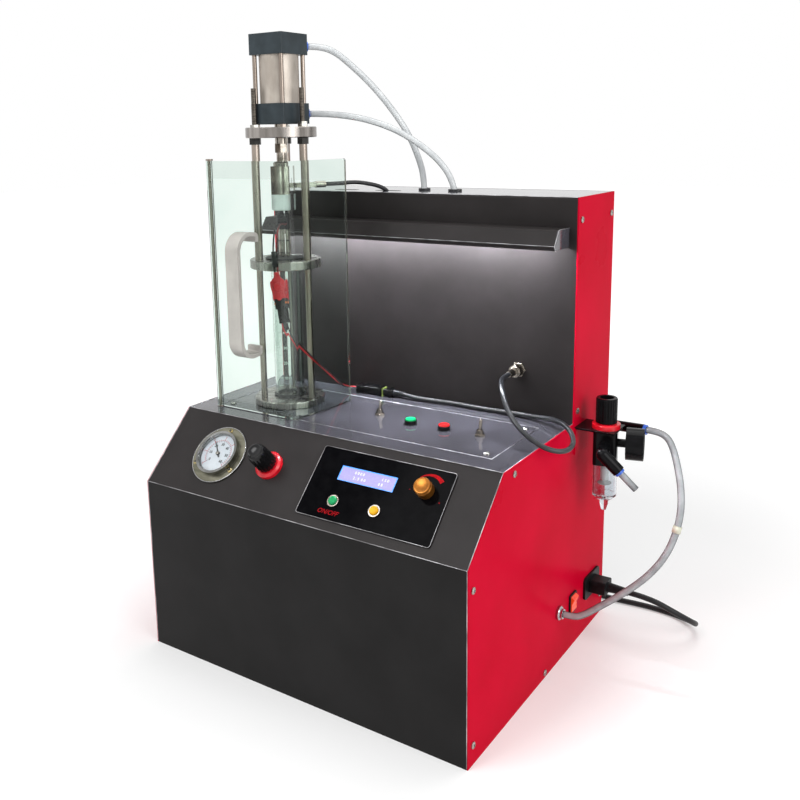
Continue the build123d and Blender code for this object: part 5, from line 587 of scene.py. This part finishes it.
# %% Whole nodes
dress(charcoal, "front_shell column_shell lamp_hood rear_cover base_pan")
dress(crimson, "left_side_panel right_side_panel")
dress(deck_polish_and_sheen, "deck_plate")
dress(panel_gloss, "control_panel")
dress(zinc_screw, "cover_screws")
dress(turned_steel, "base_disc middle_ring top_plate")
dress(rod_steel, "tower_rods tie_rods guard_hinge_pin")
dress(barrel_alloy, "cylinder_barrel")
dress(blue_grey, "cylinder_caps")
dress(nickel, "piston_rod clamp_head toggle_lever_left toggle_lever_right switch_bodies injector")
dress(white_collar, "clamp_collar")
dress(rubber, "rubber_seals")
dress(tube_glass, "glass_cylinder")
dress(guard_acrylic, "guard_pane")
dress(white_handle, "guard_handle")
dress(stainless, "gauge_case")
dress(dial_glass, "gauge_glass")
dress(dial_black, "gauge_needle filter_needle")
dress(gold, "speed_knob")
dress(jade_cap, "on_off_button")
dress(yellow_cap, "count_button")
dress(green_cap, "green_button")
dress(red_cap, "red_button")
dress(circuit, "display_module")
dress(black_satin, "regulator_body valve_cap power_inlet mains_lead_ends")
dress(black_gloss, "regulator_knob filter_body filter_knob filter_gauge")
dress(moulded_black, "harness_connectors")
dress(rocker_glow, "power_rocker")
dress(chrome, "hose_port")
dress(bowl_clear, "filter_bowl")
dress(tank_plastic, "fuel_tank")
dress(inner_steel, "pump_unit power_supply")

# %% [markdown]
# The polished deck is the same folded sheet as the front, so only its upward faces take the gloss, with
# a lighter, bluer tone that is painted sheen. The slope has its own frame: across the cabinet, up the
# slope and straight out of it.

# %% Slope frame and mixed nodes of the cabinet
def frame_at(origin, across, out):
    """Place with its x axis across and its z axis out."""
    deep = Vector(out).normalized()
    side = Vector(across)
    side = (side - deep * side.dot(deep)).normalized()
    return Matrix.Translation(origin) @ Matrix((side, deep.cross(side), deep)).transposed().to_4x4()


SLOPE = frame_at(mm(-225, -190, 218), (1, 0, 0), (0, -75.5, 78))


def moved(place, x, y, z):
    """Place moved in millimetres along its own axes."""
    return place @ Matrix.Translation(mm(x, y, z))


def on_slope(x, up, out=0):
    """Place on the slope, in millimetres from its lower left corner."""
    return moved(SLOPE, x, up, out)


def upright(x, y, z=0):
    """Level place over a point of the bench."""
    return Matrix.Translation(mm(x, y, z))


def seen_from(place, point):
    """A point in millimetres, measured in a place's own axes."""
    return (place.inverted() @ (point * MM)) / MM


DECK_TOP = 293.5
BUTTONS = {"green": (58.1, -24.4), "red": (103.1, -22.6)}
GAUGE = on_slope(87.8, 54.9)
KNOB = on_slope(166.5, 56.3)
# Upward faces of the deck: real polish, and a lighter tone painted in as sheen.
patch("front_shell", deck_polish_and_sheen, lambda p, n: p.z > 293 and n.z > 0.9)
# The upright front faces take the darker copy of the charcoal, as painted shade.
patch("front_shell", charcoal_painted_shade, lambda p, n: n.y < -0.95)
# The column's top and the hood's ends take the same polish and painted sheen.
patch("column_shell", deck_polish_and_sheen, lambda p, n: p.z > 561 and n.z > 0.9)
patch("lamp_hood", deck_polish_and_sheen, lambda p, n: abs(p.x) > 213.4)
patch("lamp_hood", lamp_glow, lambda p, n: 43.9 < p.y < 56.1 and 520.4 < p.z < 525.4 and abs(p.x) < 195)
patch("gauge_case", bezel_steel, lambda p, n: seen_from(GAUGE, p).z > 2.1)
patch("gauge_case", dial_white, lambda p, n: 2.9 < seen_from(GAUGE, p).z < 3.2
      and seen_from(GAUGE, p).xy.length < 24.6)
patch("regulator_body", red_ring, lambda p, n: 0.01 < seen_from(KNOB, p).z < 7.1
      and seen_from(KNOB, p).xy.length > 9)
patch("display_module", screen_edge, lambda p, n: seen_from(SLOPE, p).z > 1.1)
patch("switch_bodies", black_satin, lambda p, n: p.z > 293.4
      and any(near(p, *spot, 7.7) for spot in BUTTONS.values()))
patch("mains_lead_ends", nickel, lambda p, n: p.x > 153.1 and p.y > 290)

# %% [markdown]
# On the tower the nuts under the top plate are blackened, the injector is bare steel below and black
# plastic above, and the push fittings end in blue collets.

# %% Mixed nodes of the tower
TOWER = (-130.7, -20.0)
ROD_CIRCLE = 34.4


def on_thread(point):
    """Whether a point lies on the threaded end of one of the three rods."""
    return any(
        near(point, TOWER[0] + ROD_CIRCLE * cos(turn), TOWER[1] + ROD_CIRCLE * sin(turn), 3.3)
        for turn in map(radians, (0, 120, 240))
    )


def collet(name, route):
    """Blue collet round the mouth where a hose's route starts."""
    mouth = Vector(route[0])
    away = (Vector(route[1]) - mouth).normalized()
    patch(name, blue_collet, lambda p, n: (p - mouth).length < 9 and (p - mouth).dot(away) > -3.2)


patch("tower_rods", black_oxide, lambda p, n: 626.1 < p.z < 634.3)
patch("tower_rods", thread_steel, lambda p, n: p.z > 647 and on_thread(p))
patch("tower_rods", zinc_screw, lambda p, n: 647.1 < p.z < 653.7 and not on_thread(p))
patch("injector", black_satin, lambda p, n: p.z > 520.1)
patch("cylinder_caps", nickel, lambda p, n: max(abs(p.x - TOWER[0]), abs(p.y - TOWER[1])) > 26.1)
collet("cylinder_caps", UPPER_AIR)
collet("cylinder_caps", LOWER_AIR)

# %% [markdown]
# The filter regulator is one moulding with a chrome valve and push fittings. Its parts are told apart
# by distance from their own axes: the red ring nut, the two collets and the bracket.

# %% Mixed nodes of the filter and the harness
FILTER = (257.0, 96.0)
STUB_AWAY = (STUB[1] - STUB[0]).normalized()
patch("filter_body", red_ring, lambda p, n: 289.1 < p.z < 295.2 and near(p, *FILTER, 17))
patch("filter_body", chrome, lambda p, n: near(p, 245.61, 138.5, 5.2) and p.z > 287)
collet("filter_body", SUPPLY)
patch("filter_body", blue_collet, lambda p, n: (p * MM - ELBOW).dot(STUB_AWAY) > 0.0258
      and (p * MM - ELBOW).length < 0.032)
FILTER_OUT = Vector((cos(radians(15)), sin(radians(15)), 0))
DIAL = frame_at(mm(*FILTER, 271) + FILTER_OUT * 40 * MM, (-FILTER_OUT.y, FILTER_OUT.x, 0), FILTER_OUT)
patch("filter_gauge", dial_white, lambda p, n: abs(seen_from(DIAL, p).z) < 0.2)
patch("filter_body", crimson, lambda p, n: p.x < 231 and p.z > 240)

BOOT_TOP = mm(-110.4, -62.2, 471.5)
BOOT = frame_at(BOOT_TOP, (0.81, 0.575, 0.12), (0.1793, -0.0487, -0.9826))
WALL_PLUG = (153.3, 351.5)
patch("harness_connectors", nickel, lambda p, n: p.x > 140 and p.y > 44)
patch("harness_connectors", red_vinyl, lambda p, n: p.z > 400 and seen_from(BOOT, p).z < 37)

# %% [markdown]
# ## Shape helpers
# Small parts are primitives from bmesh that are moved into a place. Growing them in one bmesh keeps a
# set of marks or screws as one piece, and every place is a matrix, so nothing is turned afterwards.

# %% Shape helpers
def solid(name, shape, slot, *materials, body="cabinet", sharp=35):
    """Turn a bmesh into a piece that rides on a body."""
    mesh = mesh_from(name, shape)
    mesh.shade_smooth()
    mesh.set_sharp_from_angle(angle=radians(sharp))
    print(name, len(mesh.polygons), "faces")
    return own(name, mesh, body, slot, *materials)


def add_disc(shape, place, radius, height, sides=40, top=None):
    """Short cylinder, or cone with a top radius, standing on a place."""
    tip = radius if top is None else top
    made = bmesh.ops.create_cone(
        shape, cap_ends=True, segments=sides, radius1=radius * MM, radius2=tip * MM, depth=height * MM
    )
    bmesh.ops.transform(shape, matrix=moved(place, 0, 0, height / 2), verts=made["verts"])


def add_block(shape, place, width, length, height):
    """Block standing on the middle of a place."""
    made = bmesh.ops.create_cube(shape, size=1)
    size = Matrix.Diagonal((width * MM, length * MM, height * MM, 1))
    bmesh.ops.transform(shape, matrix=moved(place, 0, 0, height / 2) @ size, verts=made["verts"])


def add_part(shape, part, place):
    """Move a small bmesh into a place and join it to a bigger one."""
    bmesh.ops.remove_doubles(part, verts=part.verts[:], dist=1e-6)
    bmesh.ops.recalc_face_normals(part, faces=part.faces[:])
    bmesh.ops.transform(part, matrix=place, verts=part.verts[:])
    mesh = mesh_from("part", part)
    shape.from_mesh(mesh)
    bpy.data.meshes.remove(mesh)


def add_spun(shape, place, outline, start=0, span=360, steps=48, wall=0):
    """Spin an outline of (radius, height) points about a place's axis."""
    part = bmesh.new()
    turn = Matrix.Rotation(radians(start), 4, "Z")
    points = [part.verts.new(turn @ mm(radius, 0, height)) for radius, height in outline]
    edges = [part.edges.new(pair) for pair in zip(points, points[1:])]
    bmesh.ops.spin(
        part, geom=points + edges, cent=(0, 0, 0), axis=(0, 0, 1), angle=radians(span), steps=steps,
        use_merge=span == 360,
    )
    if wall:
        bmesh.ops.recalc_face_normals(part, faces=part.faces[:])
        bmesh.ops.solidify(part, geom=part.faces[:], thickness=wall * MM)
    add_part(shape, part, place)


def add_words(shape, words, size, place, slant=0, thick=0.05):
    """Raised numbers or words lying on a place."""
    letters = bpy.data.curves.new("words", "FONT")
    letters.body = words
    letters.size = size * MM
    letters.shear = slant
    letters.align_x = "CENTER"
    letters.align_y = "CENTER"
    letters.extrude = 0.04 * MM
    letters.offset = thick * MM
    letters.resolution_u = 3
    mesh = swept_mesh(letters)
    mesh.transform(place)
    shape.from_mesh(mesh)
    bpy.data.meshes.remove(mesh)


def add_loft(shape, rings, sides, bend):
    """Closed skin over circles that a function bends into rings, one after another."""
    loops = []
    for ring in rings:
        made = bmesh.ops.create_circle(shape, cap_ends=False, segments=sides, radius=1)
        for vertex in made["verts"]:
            vertex.co = bend(vertex.co, *ring)
        loops.append({edge for vertex in made["verts"] for edge in vertex.link_edges})
    for below, above in zip(loops, loops[1:]):
        bmesh.ops.bridge_loops(shape, edges=list(below | above))
    bmesh.ops.holes_fill(shape, edges=[edge for edge in shape.edges if edge.is_boundary], sides=0)
    bmesh.ops.recalc_face_normals(shape, faces=shape.faces[:])


def bevel_all(shape, radius, segments=2):
    """Round every edge of a shape."""
    bmesh.ops.bevel(
        shape, geom=shape.edges[:], offset=radius * MM, segments=segments, affect="EDGES", profile=0.5,
        material=-1,
    )


def turned(place, degrees, reach=0, lift=0):
    """Place turned about its axis, then moved out along its x axis and up."""
    return moved(place @ Matrix.Rotation(radians(degrees), 4, "Z"), reach, 0, lift)


def level(dial, degrees, reach, lift):
    """Place round a dial whose x axis stays level, for a figure."""
    return turned(dial, degrees, reach, lift) @ Matrix.Rotation(radians(-degrees), 4, "Z")


print("A block of 2 mm is", round(2 * MM, 4), "m in the scene")

# %% [markdown]
# ## Pressure gauge
# The dial has a red scale outside and a black one inside, over three quarters of a turn. They could be
# painted, but raised marks a twentieth of a millimetre high catch light as print does and survive the
# export. Three brass screws hold the flange.

# %% Gauge marks and screws
DIAL_START, DIAL_SPAN = 225, 270
DIAL_FACE = 3.02
red_marks = bmesh.new()
black_marks = bmesh.new()
add_spun(red_marks, GAUGE, [(17.6, DIAL_FACE), (18, DIAL_FACE)], DIAL_START, -DIAL_SPAN, 60, 0.06)
for step in range(31):
    angle = DIAL_START - DIAL_SPAN * step / 30
    reach, long, wide, short = (19.3, 3.2, 0.75, 1.8) if step % 5 == 0 else (18.6, 1.5, 0.4, 1.1)
    add_block(red_marks, turned(GAUGE, angle, reach, DIAL_FACE), long, wide, 0.08)
    add_block(black_marks, turned(GAUGE, angle, 16.4, DIAL_FACE), short, 0.6, 0.08)
    if step % 5 == 0:
        add_words(black_marks, str(step * 2), 4.8, level(GAUGE, angle, 12.6, 3.06), thick=0.14)
        add_words(red_marks, str(step // 5), 3.2, level(GAUGE, angle, 22.3, 3.06), thick=0.1)
solid("gauge_red_scale", red_marks, "red", dial_red)
solid("gauge_black_scale", black_marks, "needle", dial_black)
gauge_screws = bmesh.new()
sockets = bmesh.new()
for angle in (90, 210, 330):
    seat = turned(GAUGE, angle, 32.2, 2)
    add_spun(gauge_screws, seat, [(0, 1.9), (2.2, 1.7), (3.1, 0.9), (3.3, 0), (0, 0)], steps=28)
    add_disc(sockets, turned(seat, 20, 0, 1.74), 1.75, 0.25, 6)
solid("gauge_screws", gauge_screws, "gold", brass)
# The dark hexagon in each screw head is painted shade for its socket.
solid("gauge_screw_sockets", sockets, "black_plastic", recess_shade)
hub = bmesh.new()
add_spun(hub, GAUGE, [(0, 6.2), (1.6, 6.0), (2.0, 5.45), (0, 5.45)], steps=24)
solid("gauge_hub", hub, "zinc", nickel, body="gauge_needle")
flange_ring = bmesh.new()
FLANGE = [(36.5, 1.9), (36.8, 2.35), (37.3, 2.3), (37.5, 1.6), (36.9, 1.5), (36.5, 1.9)]
add_spun(flange_ring, GAUGE, FLANGE)
solid("gauge_flange_edge", flange_ring, "chrome", chrome)

# %% [markdown]
# ## Control panel
# The blue screen is a lit field inside a brighter frame, with two rows of pale figures. Red print is
# kept to what any such panel may say: on and off, plus and minus, and a growing arc round the knob.

# %% Panel print and screen
field = bmesh.new()
add_block(field, on_slope(299.15, 68.2, 1.2), 70.5, 15.6, 0.12)
solid("screen_field", field, "display_blue", screen_glow)
figures = bmesh.new()
for words, x, up in (
    ("0 0 0 0", 288, 71.6), ("1 5 0", 322, 70.8), ("2 . 5  0 0", 290, 65.2), ("0 8", 318, 64.8)
):
    add_words(figures, words, 4.6, on_slope(x, up, 1.36))
solid("screen_figures", figures, "display_blue", screen_digit)
print_marks = bmesh.new()
PANEL_TOP = 2.03
add_words(print_marks, "ON/OFF", 7.4, on_slope(269.5, 20.3, PANEL_TOP), 0.25)
add_words(print_marks, "+", 4, on_slope(393.5, 60, PANEL_TOP))
add_words(print_marks, "-", 5, on_slope(354.5, 68, PANEL_TOP))
arc = bmesh.new()
bmesh.ops.create_grid(arc, x_segments=24, y_segments=1, size=0.5)
for vertex in arc.verts:
    along, beside = vertex.co.x + 0.5, vertex.co.y
    angle = radians(134 - 90 * along)
    reach = 19 + beside * (0.8 + 4.2 * along)
    vertex.co = mm(reach * cos(angle), reach * sin(angle), 0.02)
bmesh.ops.solidify(arc, geom=arc.faces[:], thickness=0.06 * MM)
SPEED = on_slope(374.4, 69.3)
add_part(print_marks, arc, moved(SPEED, 0, 0, 2.05))
solid("panel_print", print_marks, "red", red_print)

# %% [markdown]
# ## Deck and seams
# Bright lines run round the inset plate and the panel, along the folds and where charcoal meets crimson.
# They are thin bright metal beads: partly worn edges, partly painted highlight where folds and edges
# catch light.

# %% Edge beads
def bead(name, route, radius, close=False):
    """Thin bright bead along straight runs: worn edge and painted highlight."""
    curve = spline_curve(name, route, radius, rings=2, caps=False, kind="POLY")
    curve.splines[0].use_cyclic_u = close
    own(name, swept_mesh(curve), "cabinet", "zinc", wear_and_highlight)
    print(name, len(route), "points")


PLATE = [(-196, -82.5), (195.5, -82.5), (195.5, 39.5), (-196, 39.5)]
bead("plate_edge", [(x, y, 293.55) for x, y in PLATE], 0.42, True)
bead("deck_fold", [(-223.4, -112.2, 293.6), (223.4, -112.2, 293.6)], 0.4)
bead("front_fold", [(-223.4, -189.9, 218.1), (223.4, -189.9, 218.1)], 0.35)
bead("column_edge", [(-223.4, 73.8, 562), (223.4, 73.8, 562)], 0.4)
PANEL_CORNERS = [(232.5, 14.7), (398.4, 14.7), (398.4, 92.9), (232.5, 92.9)]
rim = []
for quarter, (x, up) in enumerate(PANEL_CORNERS):
    for step in range(5):
        angle = radians(180 + 90 * quarter + 22.5 * step)
        rim.append(on_slope(x + 3 * cos(angle), up + 3 * sin(angle), 1.95).translation / MM)
bead("panel_edge", rim, 0.28, True)
HOOD = [(74, 527), (43, 527.1), (30.9, 510), (33.8, 504.4)]
bead("hood_nose", [(-214, 30.9, 510), (214, 30.9, 510)], 0.3)
bead("hood_end", [(214.1, y, z) for y, z in HOOD], 0.3)
PROFILE = [(-190.1, 2), (-190.1, 218.2), (-112.2, 293.6), (73.9, 293.6)]
for side in (-1, 1):
    name = "right_seam" if side > 0 else "left_seam"
    bead(name, [(side * 223.6, y, z) for y, z in PROFILE], 0.45)

# %% [markdown]
# ## Screw recesses
# Every cover screw has a cross recess. One cross is two crossed dark blocks, painted shade for the
# hollow of the recess, and all of them make one piece.

# %% Crosses
crosses = bmesh.new()
SIDE_SCREWS = [
    (-180.5, 194), (-179.6, 23), (1.3, 7), (-89, 284.9), (83.6, 307.4), (84, 536), (180, 536), (180, 27.5)
]
PLATE_SCREWS = [(-184, -70.5), (183.5, -70.5), (-184, 27.5), (183.5, 27.5)]
seats = [
    frame_at(mm(side * 225, y, z), (0, 1, 0), (side, 0, 0)) for side in (-1, 1) for y, z in SIDE_SCREWS
]
seats += [upright(x, y, DECK_TOP) for x, y in PLATE_SCREWS]
for number, seat in enumerate(seats):
    for turn in (25 * number, 25 * number + 90):
        add_block(crosses, turned(seat, turn, 0, 2.05), 3.6, 0.8, 0.22)
# The dark crosses are painted shade in the recesses.
solid("screw_crosses", crosses, "black_plastic", recess_shade)
print(len(seats), "screws have crosses")

# %% [markdown]
# ## Measuring glass
# The scale is printed on the glass, so its ticks are bands spun round the glass's own axis and lie a
# few hundredths of a millimetre off it. Every fifth tick is longer, and every tenth has a figure.

# %% Graduations
glass_print = finish("glass_print", "cee2d6", "e4f2ea", (0.4, 0.5), 200)
ticks = bmesh.new()
GLASS = upright(*TOWER)
UPRIGHT_WORDS = Matrix.Rotation(radians(90), 4, "Y") @ Matrix.Rotation(radians(90), 4, "Z")
for step in range(69):
    low = 318 + 2 * step
    span = 40 if step % 5 == 0 else 22
    add_spun(ticks, GLASS, [(18.06, low), (18.06, low + 0.5)], -113, span, 5, 0.04)
    if step % 10 == 5:
        add_words(ticks, str(step // 10 * 10 + 10), 5.2, turned(GLASS, -62, 18.12, low) @ UPRIGHT_WORDS)
solid("glass_scale", ticks, "glass", glass_print)

# %% [markdown]
# ## Filter parts
# Behind the clear bowl sit a white element and its baffle, and the small gauge has a black scale. A
# profile spun about an axis is the natural way to make both.

# %% Filter details
element = bmesh.new()
ELEMENT = [
    (0, 219), (7.5, 219), (8.4, 220), (2.6, 222), (2.6, 224), (5.2, 224.6), (5.2, 241), (4, 242),
    (4, 244.8), (0, 244.8),
]
add_spun(element, upright(*FILTER), ELEMENT, steps=40)
solid("filter_element", element, "white_plastic", tank_plastic)
small_marks = bmesh.new()
add_spun(small_marks, DIAL, [(13.6, 0.1), (13.9, 0.1)], DIAL_START, -DIAL_SPAN, 50, 0.06)
for step in range(21):
    angle = DIAL_START - DIAL_SPAN * step / 20
    major = step % 4 == 0
    add_block(small_marks, turned(DIAL, angle, 12.9, 0.1), 1.8 if major else 0.9, 0.35, 0.08)
    if major:
        add_words(small_marks, str(step // 2), 3, level(DIAL, angle, 9.6, 0.12))
solid("filter_dial_scale", small_marks, "needle", dial_black)

# %% [markdown]
# ## Boot, seals and connectors
# Rubber and vinyl parts are soft forms on hard solids. The boot is a loft through flattened circles, and
# one level of subdivision makes it look dipped. Rings are small outlines spun about the same axis.

# %% Harness details
boot = bmesh.new()
RINGS = [(0, 3.5, 3.5), (8, 3.9, 3.9), (11, 6.2, 5.2), (15, 9.2, 6.2), (21, 9.6, 6.6), (25, 8.4, 5.9),
         (28, 8.9, 6.2), (34, 8.8, 6.3), (36.5, 8.2, 5.8)]
add_loft(boot, RINGS, 28, lambda point, depth, wide, thick: mm(point.x * wide, point.y * thick, depth))
bmesh.ops.transform(boot, matrix=BOOT, verts=boot.verts)
boot_piece = solid("red_boot", boot, "red", red_vinyl, sharp=60)
round_off = boot_piece.modifiers.new("round", "SUBSURF")
round_off.levels = round_off.render_levels = 1
thumb = bmesh.new()
for side in (-1, 1):
    face = moved(BOOT, 0, side * 5.9, 19) @ Matrix.Rotation(radians(-90 * side), 4, "X")
    add_spun(thumb, face, [(0, 1.0), (3.4, 1.2), (4.6, 1.5), (5.6, 1.1), (6.0, 0), (0, 0)], steps=32)
solid("boot_thumb_pads", thumb, "red", red_vinyl)
seal = bmesh.new()
add_block(seal, moved(BOOT, 0, 0, 37), 14.6, 10.6, 3.4)
bevel_all(seal, 1)
solid("plug_seal", seal, "red", orange_seal)
middle = mm(-112.3, -61.7, 487)
pigtail = [middle + mm(-0.6, -0.1, 9), middle, middle + mm(0.6, -0.2, -9)]
sleeve("pigtail_sleeve", pigtail, middle, 19, 3.4, 0.5, "black_rubber", rubber)
orings = bmesh.new()
for height in (489.8, 505.8):
    circle = [
        (6.5 + 0.8 * cos(turn), height + 0.8 * sin(turn))
        for turn in map(radians, range(0, 361, 45))
    ]
    add_spun(orings, GLASS, circle, steps=36)
solid("injector_orings", orings, "black_rubber", rubber)
SEALED = frame_at(mm(-74.6, 57.8, 299), (0, 1, 0), (0.9986, 0.052, 0))
gasket = bmesh.new()
add_block(gasket, moved(SEALED, 0, 0, 39.5), 13.5, 11.5, 0.8)
solid("connector_gasket", gasket, "green", yellow_green)
shell = bmesh.new()
SHELL = (
    (0, 0, 0, 14, 12, 5), (0, 0, 9, 13.7, 11.5, 3), (0, 0, 34, 14, 12, 3.5), (0, 0, 48, 12, 11.6, 4),
    (-3.4, 6.3, 14, 1.5, 1.6, 19), (3.4, 6.3, 14, 1.5, 1.6, 19), (0, 6.6, 29, 8.3, 2.2, 3),
)
for x, y, start, width, height, length in SHELL:
    add_block(shell, moved(SEALED, x, y, start), width, height, length)
bevel_all(shell, 0.4)
solid("connector_latch", shell, "black_plastic", moulded_black)
relief_rings = bmesh.new()
for step in range(7):
    radius = 4.6 - 0.18 * step
    ring = [(2.9, 0), (radius, 0.2), (radius, 1.5), (2.9, 1.7), (2.9, 0)]
    add_spun(relief_rings, moved(SEALED, 0, 0, 54.6 + 2.4 * step), ring, steps=28)
solid("connector_relief", relief_rings, "black_rubber", cable_skin)

# %% [markdown]
# The wall plug couples with a knurled ring over a hexagon nut, as a round metal connector does.

# %% Wall plug
plug = bmesh.new()
PLUG = frame_at(mm(WALL_PLUG[0], 74, WALL_PLUG[1]), (1, 0, 0), (0, -1, 0))
add_disc(plug, turned(PLUG, 30), 9.6, 2.4, 6)
add_disc(plug, turned(PLUG, 0, 0, 2.4), 7.9, 1.6)
for step in range(30):
    add_block(plug, turned(PLUG, 12 * step, 6.8, 6.2), 1.6, 0.9, 7)
add_disc(plug, turned(PLUG, 0, 0, 6), 7.1, 7.4)
add_disc(plug, turned(PLUG, 0, 0, 13.4), 6.2, 2.2, top=5)
solid("wall_plug_ring", plug, "zinc", nickel)

# %% [markdown]
# ## Knobs and caps
# The knobs are turned bodies with flutes. A circle whose radius swells with the flutes is drawn at each
# height and lofted, which keeps the flutes crisp where a bump would not. The caps of the deck buttons
# stand in black collars that they sink into.

# %% Knobs
def fluted(name, body, slot, place, outline, flutes, material):
    """Knob from (height, radius, flute depth) steps, closed at its ends."""
    def bend(point, height, radius, depth):
        turn = atan2(point.y, point.x)
        swell = radius + depth * min(1, 1.6 * cos(turn * flutes / 2) ** 2)
        return mm(swell * cos(turn), swell * sin(turn), height)

    shape = bmesh.new()
    add_loft(shape, outline, flutes * 6, bend)
    bmesh.ops.transform(shape, matrix=place, verts=shape.verts[:])
    return solid(name, shape, slot, material, body=body)


grip = fluted(
    "regulator_grip", "regulator_knob", "black_plastic", KNOB,
    [(7.6, 11.4, 0.9), (8.4, 11.6, 0.9), (30, 11.1, 0.8), (31.6, 11.2, 0), (34.6, 11, 0), (36.4, 10, 0),
     (36.9, 8.8, 0), (36, 8, 0), (34.9, 4, 0), (34.6, 0.4, 0)],
    16, moulded_black,
)
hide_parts("regulator_knob")
dial_knob = fluted(
    "speed_dial", "speed_knob", "gold", SPEED,
    [(2.6, 9.3, 0), (3.2, 9.5, 0.18), (12.4, 9.5, 0.18), (12.8, 9.2, 0), (13.4, 9.2, 0), (13.8, 9.6, 0),
     (15.8, 9.6, 0), (16.8, 8.9, 0), (16.9, 8.4, 0), (16.5, 7.8, 0), (16.4, 0.4, 0)],
    36, gold,
)
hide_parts("speed_knob")
collars = bmesh.new()
COLLAR = [(6.8, 1.9), (7.3, 1.9), (7.4, 4.6), (7.2, 4.9), (6.8, 4.9), (6.8, 1.9)]
CAP = [(0, 5.1), (6.6, 5.1), (6.6, 6.1), (6.2, 6.7), (0, 6.9)]
for spot in BUTTONS.values():
    add_spun(collars, upright(*spot, DECK_TOP), COLLAR, steps=40)
solid("button_collars", collars, "black_gloss", black_satin)
for name, material in (("green", green_cap), ("red", red_cap)):
    cap = bmesh.new()
    add_spun(cap, upright(*BUTTONS[name], DECK_TOP), CAP, steps=40)
    solid(f"{name}_cap", cap, name, material, body=f"{name}_button")

# %% [markdown]
# ## Studio
# Plain soft light shows the colours as they are written: one broad lamp from the upper left, weaker ones
# from the right and from above the back, and a pale sky. The backdrop's white comes from Light Path, so
# no lamp has to burn it out, and the pale floor keeps the tester's shadow.

# %% Sky and lamps
def seen(tree):
    """Share of a ray that the camera sees, straight or by way of metal or glass."""
    path = add_node(tree, "LightPath")
    share = path.outputs["Is Camera Ray"]
    for name in ("Is Glossy Ray", "Is Transmission Ray"):
        either = add_node(tree, "Math")
        either.operation = "MAXIMUM"
        tree.links.new(share, either.inputs[0])
        tree.links.new(path.outputs[name], either.inputs[1])
        share = either.outputs["Value"]
    return share


def show(tree, hidden, shown, output):
    """Light the scene with one shader and show another."""
    choice = add_node(tree, "MixShader")
    tree.links.new(seen(tree), choice.inputs["Fac"])
    tree.links.new(hidden, choice.inputs[1])
    tree.links.new(shown, choice.inputs[2])
    tree.links.new(choice.outputs["Shader"], tree.nodes[output].inputs["Surface"])


WHITE = (1, 1, 1, 1)
world = bpy.data.worlds.new("studio")
bpy.context.scene.world = world
world.use_nodes = True
tree = world.node_tree
sky = feed(tree.nodes["Background"], Color=WHITE, Strength=0.42)
white = add_node(tree, "Background", Color=WHITE, Strength=1)
show(tree, sky.outputs["Background"], white.outputs["Background"], "World Output")


def softbox(name, place, aim, size, power):
    """Square area lamp that faces a point."""
    lamp = bpy.data.lights.new(name, "AREA")
    lamp.size = size
    lamp.energy = power
    holder = add_object(name, lamp)
    holder.location = place
    holder.rotation_mode = "QUATERNION"
    holder.rotation_quaternion = (Vector(aim) - Vector(place)).to_track_quat("-Z", "Y")


softbox("key", (-0.7, -1.5, 1.9), (0, 0, 0.3), 1.2, 26)
softbox("side", (1.9, -0.5, 1.1), (0.1, 0, 0.3), 1.2, 20)
softbox("top", (0.2, 0.6, 2.2), (0, 0, 0.3), 1.4, 16)
print(len(bpy.data.lights), "lamps")

# %% [markdown]
# The floor is nearly white where the camera looks at it and only pale where light bounces off it. A
# round gradient gives it less glow under the tester, where the shadow belongs, and more further out.

# %% Floor
floor_white = bpy.data.materials.new("floor_white")
floor_white.use_nodes = True
tree = floor_white.node_tree
join = tree.links.new
shader = tree.nodes["Principled BSDF"]
feed(shader, Base_Color=(0.8, 0.8, 0.8, 1), Roughness=0.9, Specular_IOR_Level=0.1)
place = add_node(tree, "TexCoord")
shrink = add_node(tree, "Mapping", Scale=(0.5, 0.5, 0.5))
ball = add_node(tree, "TexGradient")
ball.gradient_type = "SPHERICAL"
fade = add_node(tree, "MapRange", From_Max=0.7, To_Min=0.74, To_Max=0.22)
glow = add_node(tree, "Emission")
lifted = add_node(tree, "AddShader")
join(place.outputs["Object"], shrink.inputs["Vector"])
join(shrink.outputs["Vector"], ball.inputs["Vector"])
join(ball.outputs["Fac"], fade.inputs["Value"])
join(fade.outputs["Result"], glow.inputs["Strength"])
join(shader.outputs["BSDF"], lifted.inputs[0])
join(glow.outputs["Emission"], lifted.inputs[1])
show(tree, shader.outputs["BSDF"], lifted.outputs["Shader"], "Material Output")
shape = bmesh.new()
FLOOR_REACH = 9
bmesh.ops.create_grid(shape, x_segments=4, y_segments=4, size=FLOOR_REACH)
floor_mesh = mesh_from("floor", shape)
floor_mesh.materials.append(floor_white)
studio_floor = add_object("floor", floor_mesh)
print("floor reaches", FLOOR_REACH, "m each way")
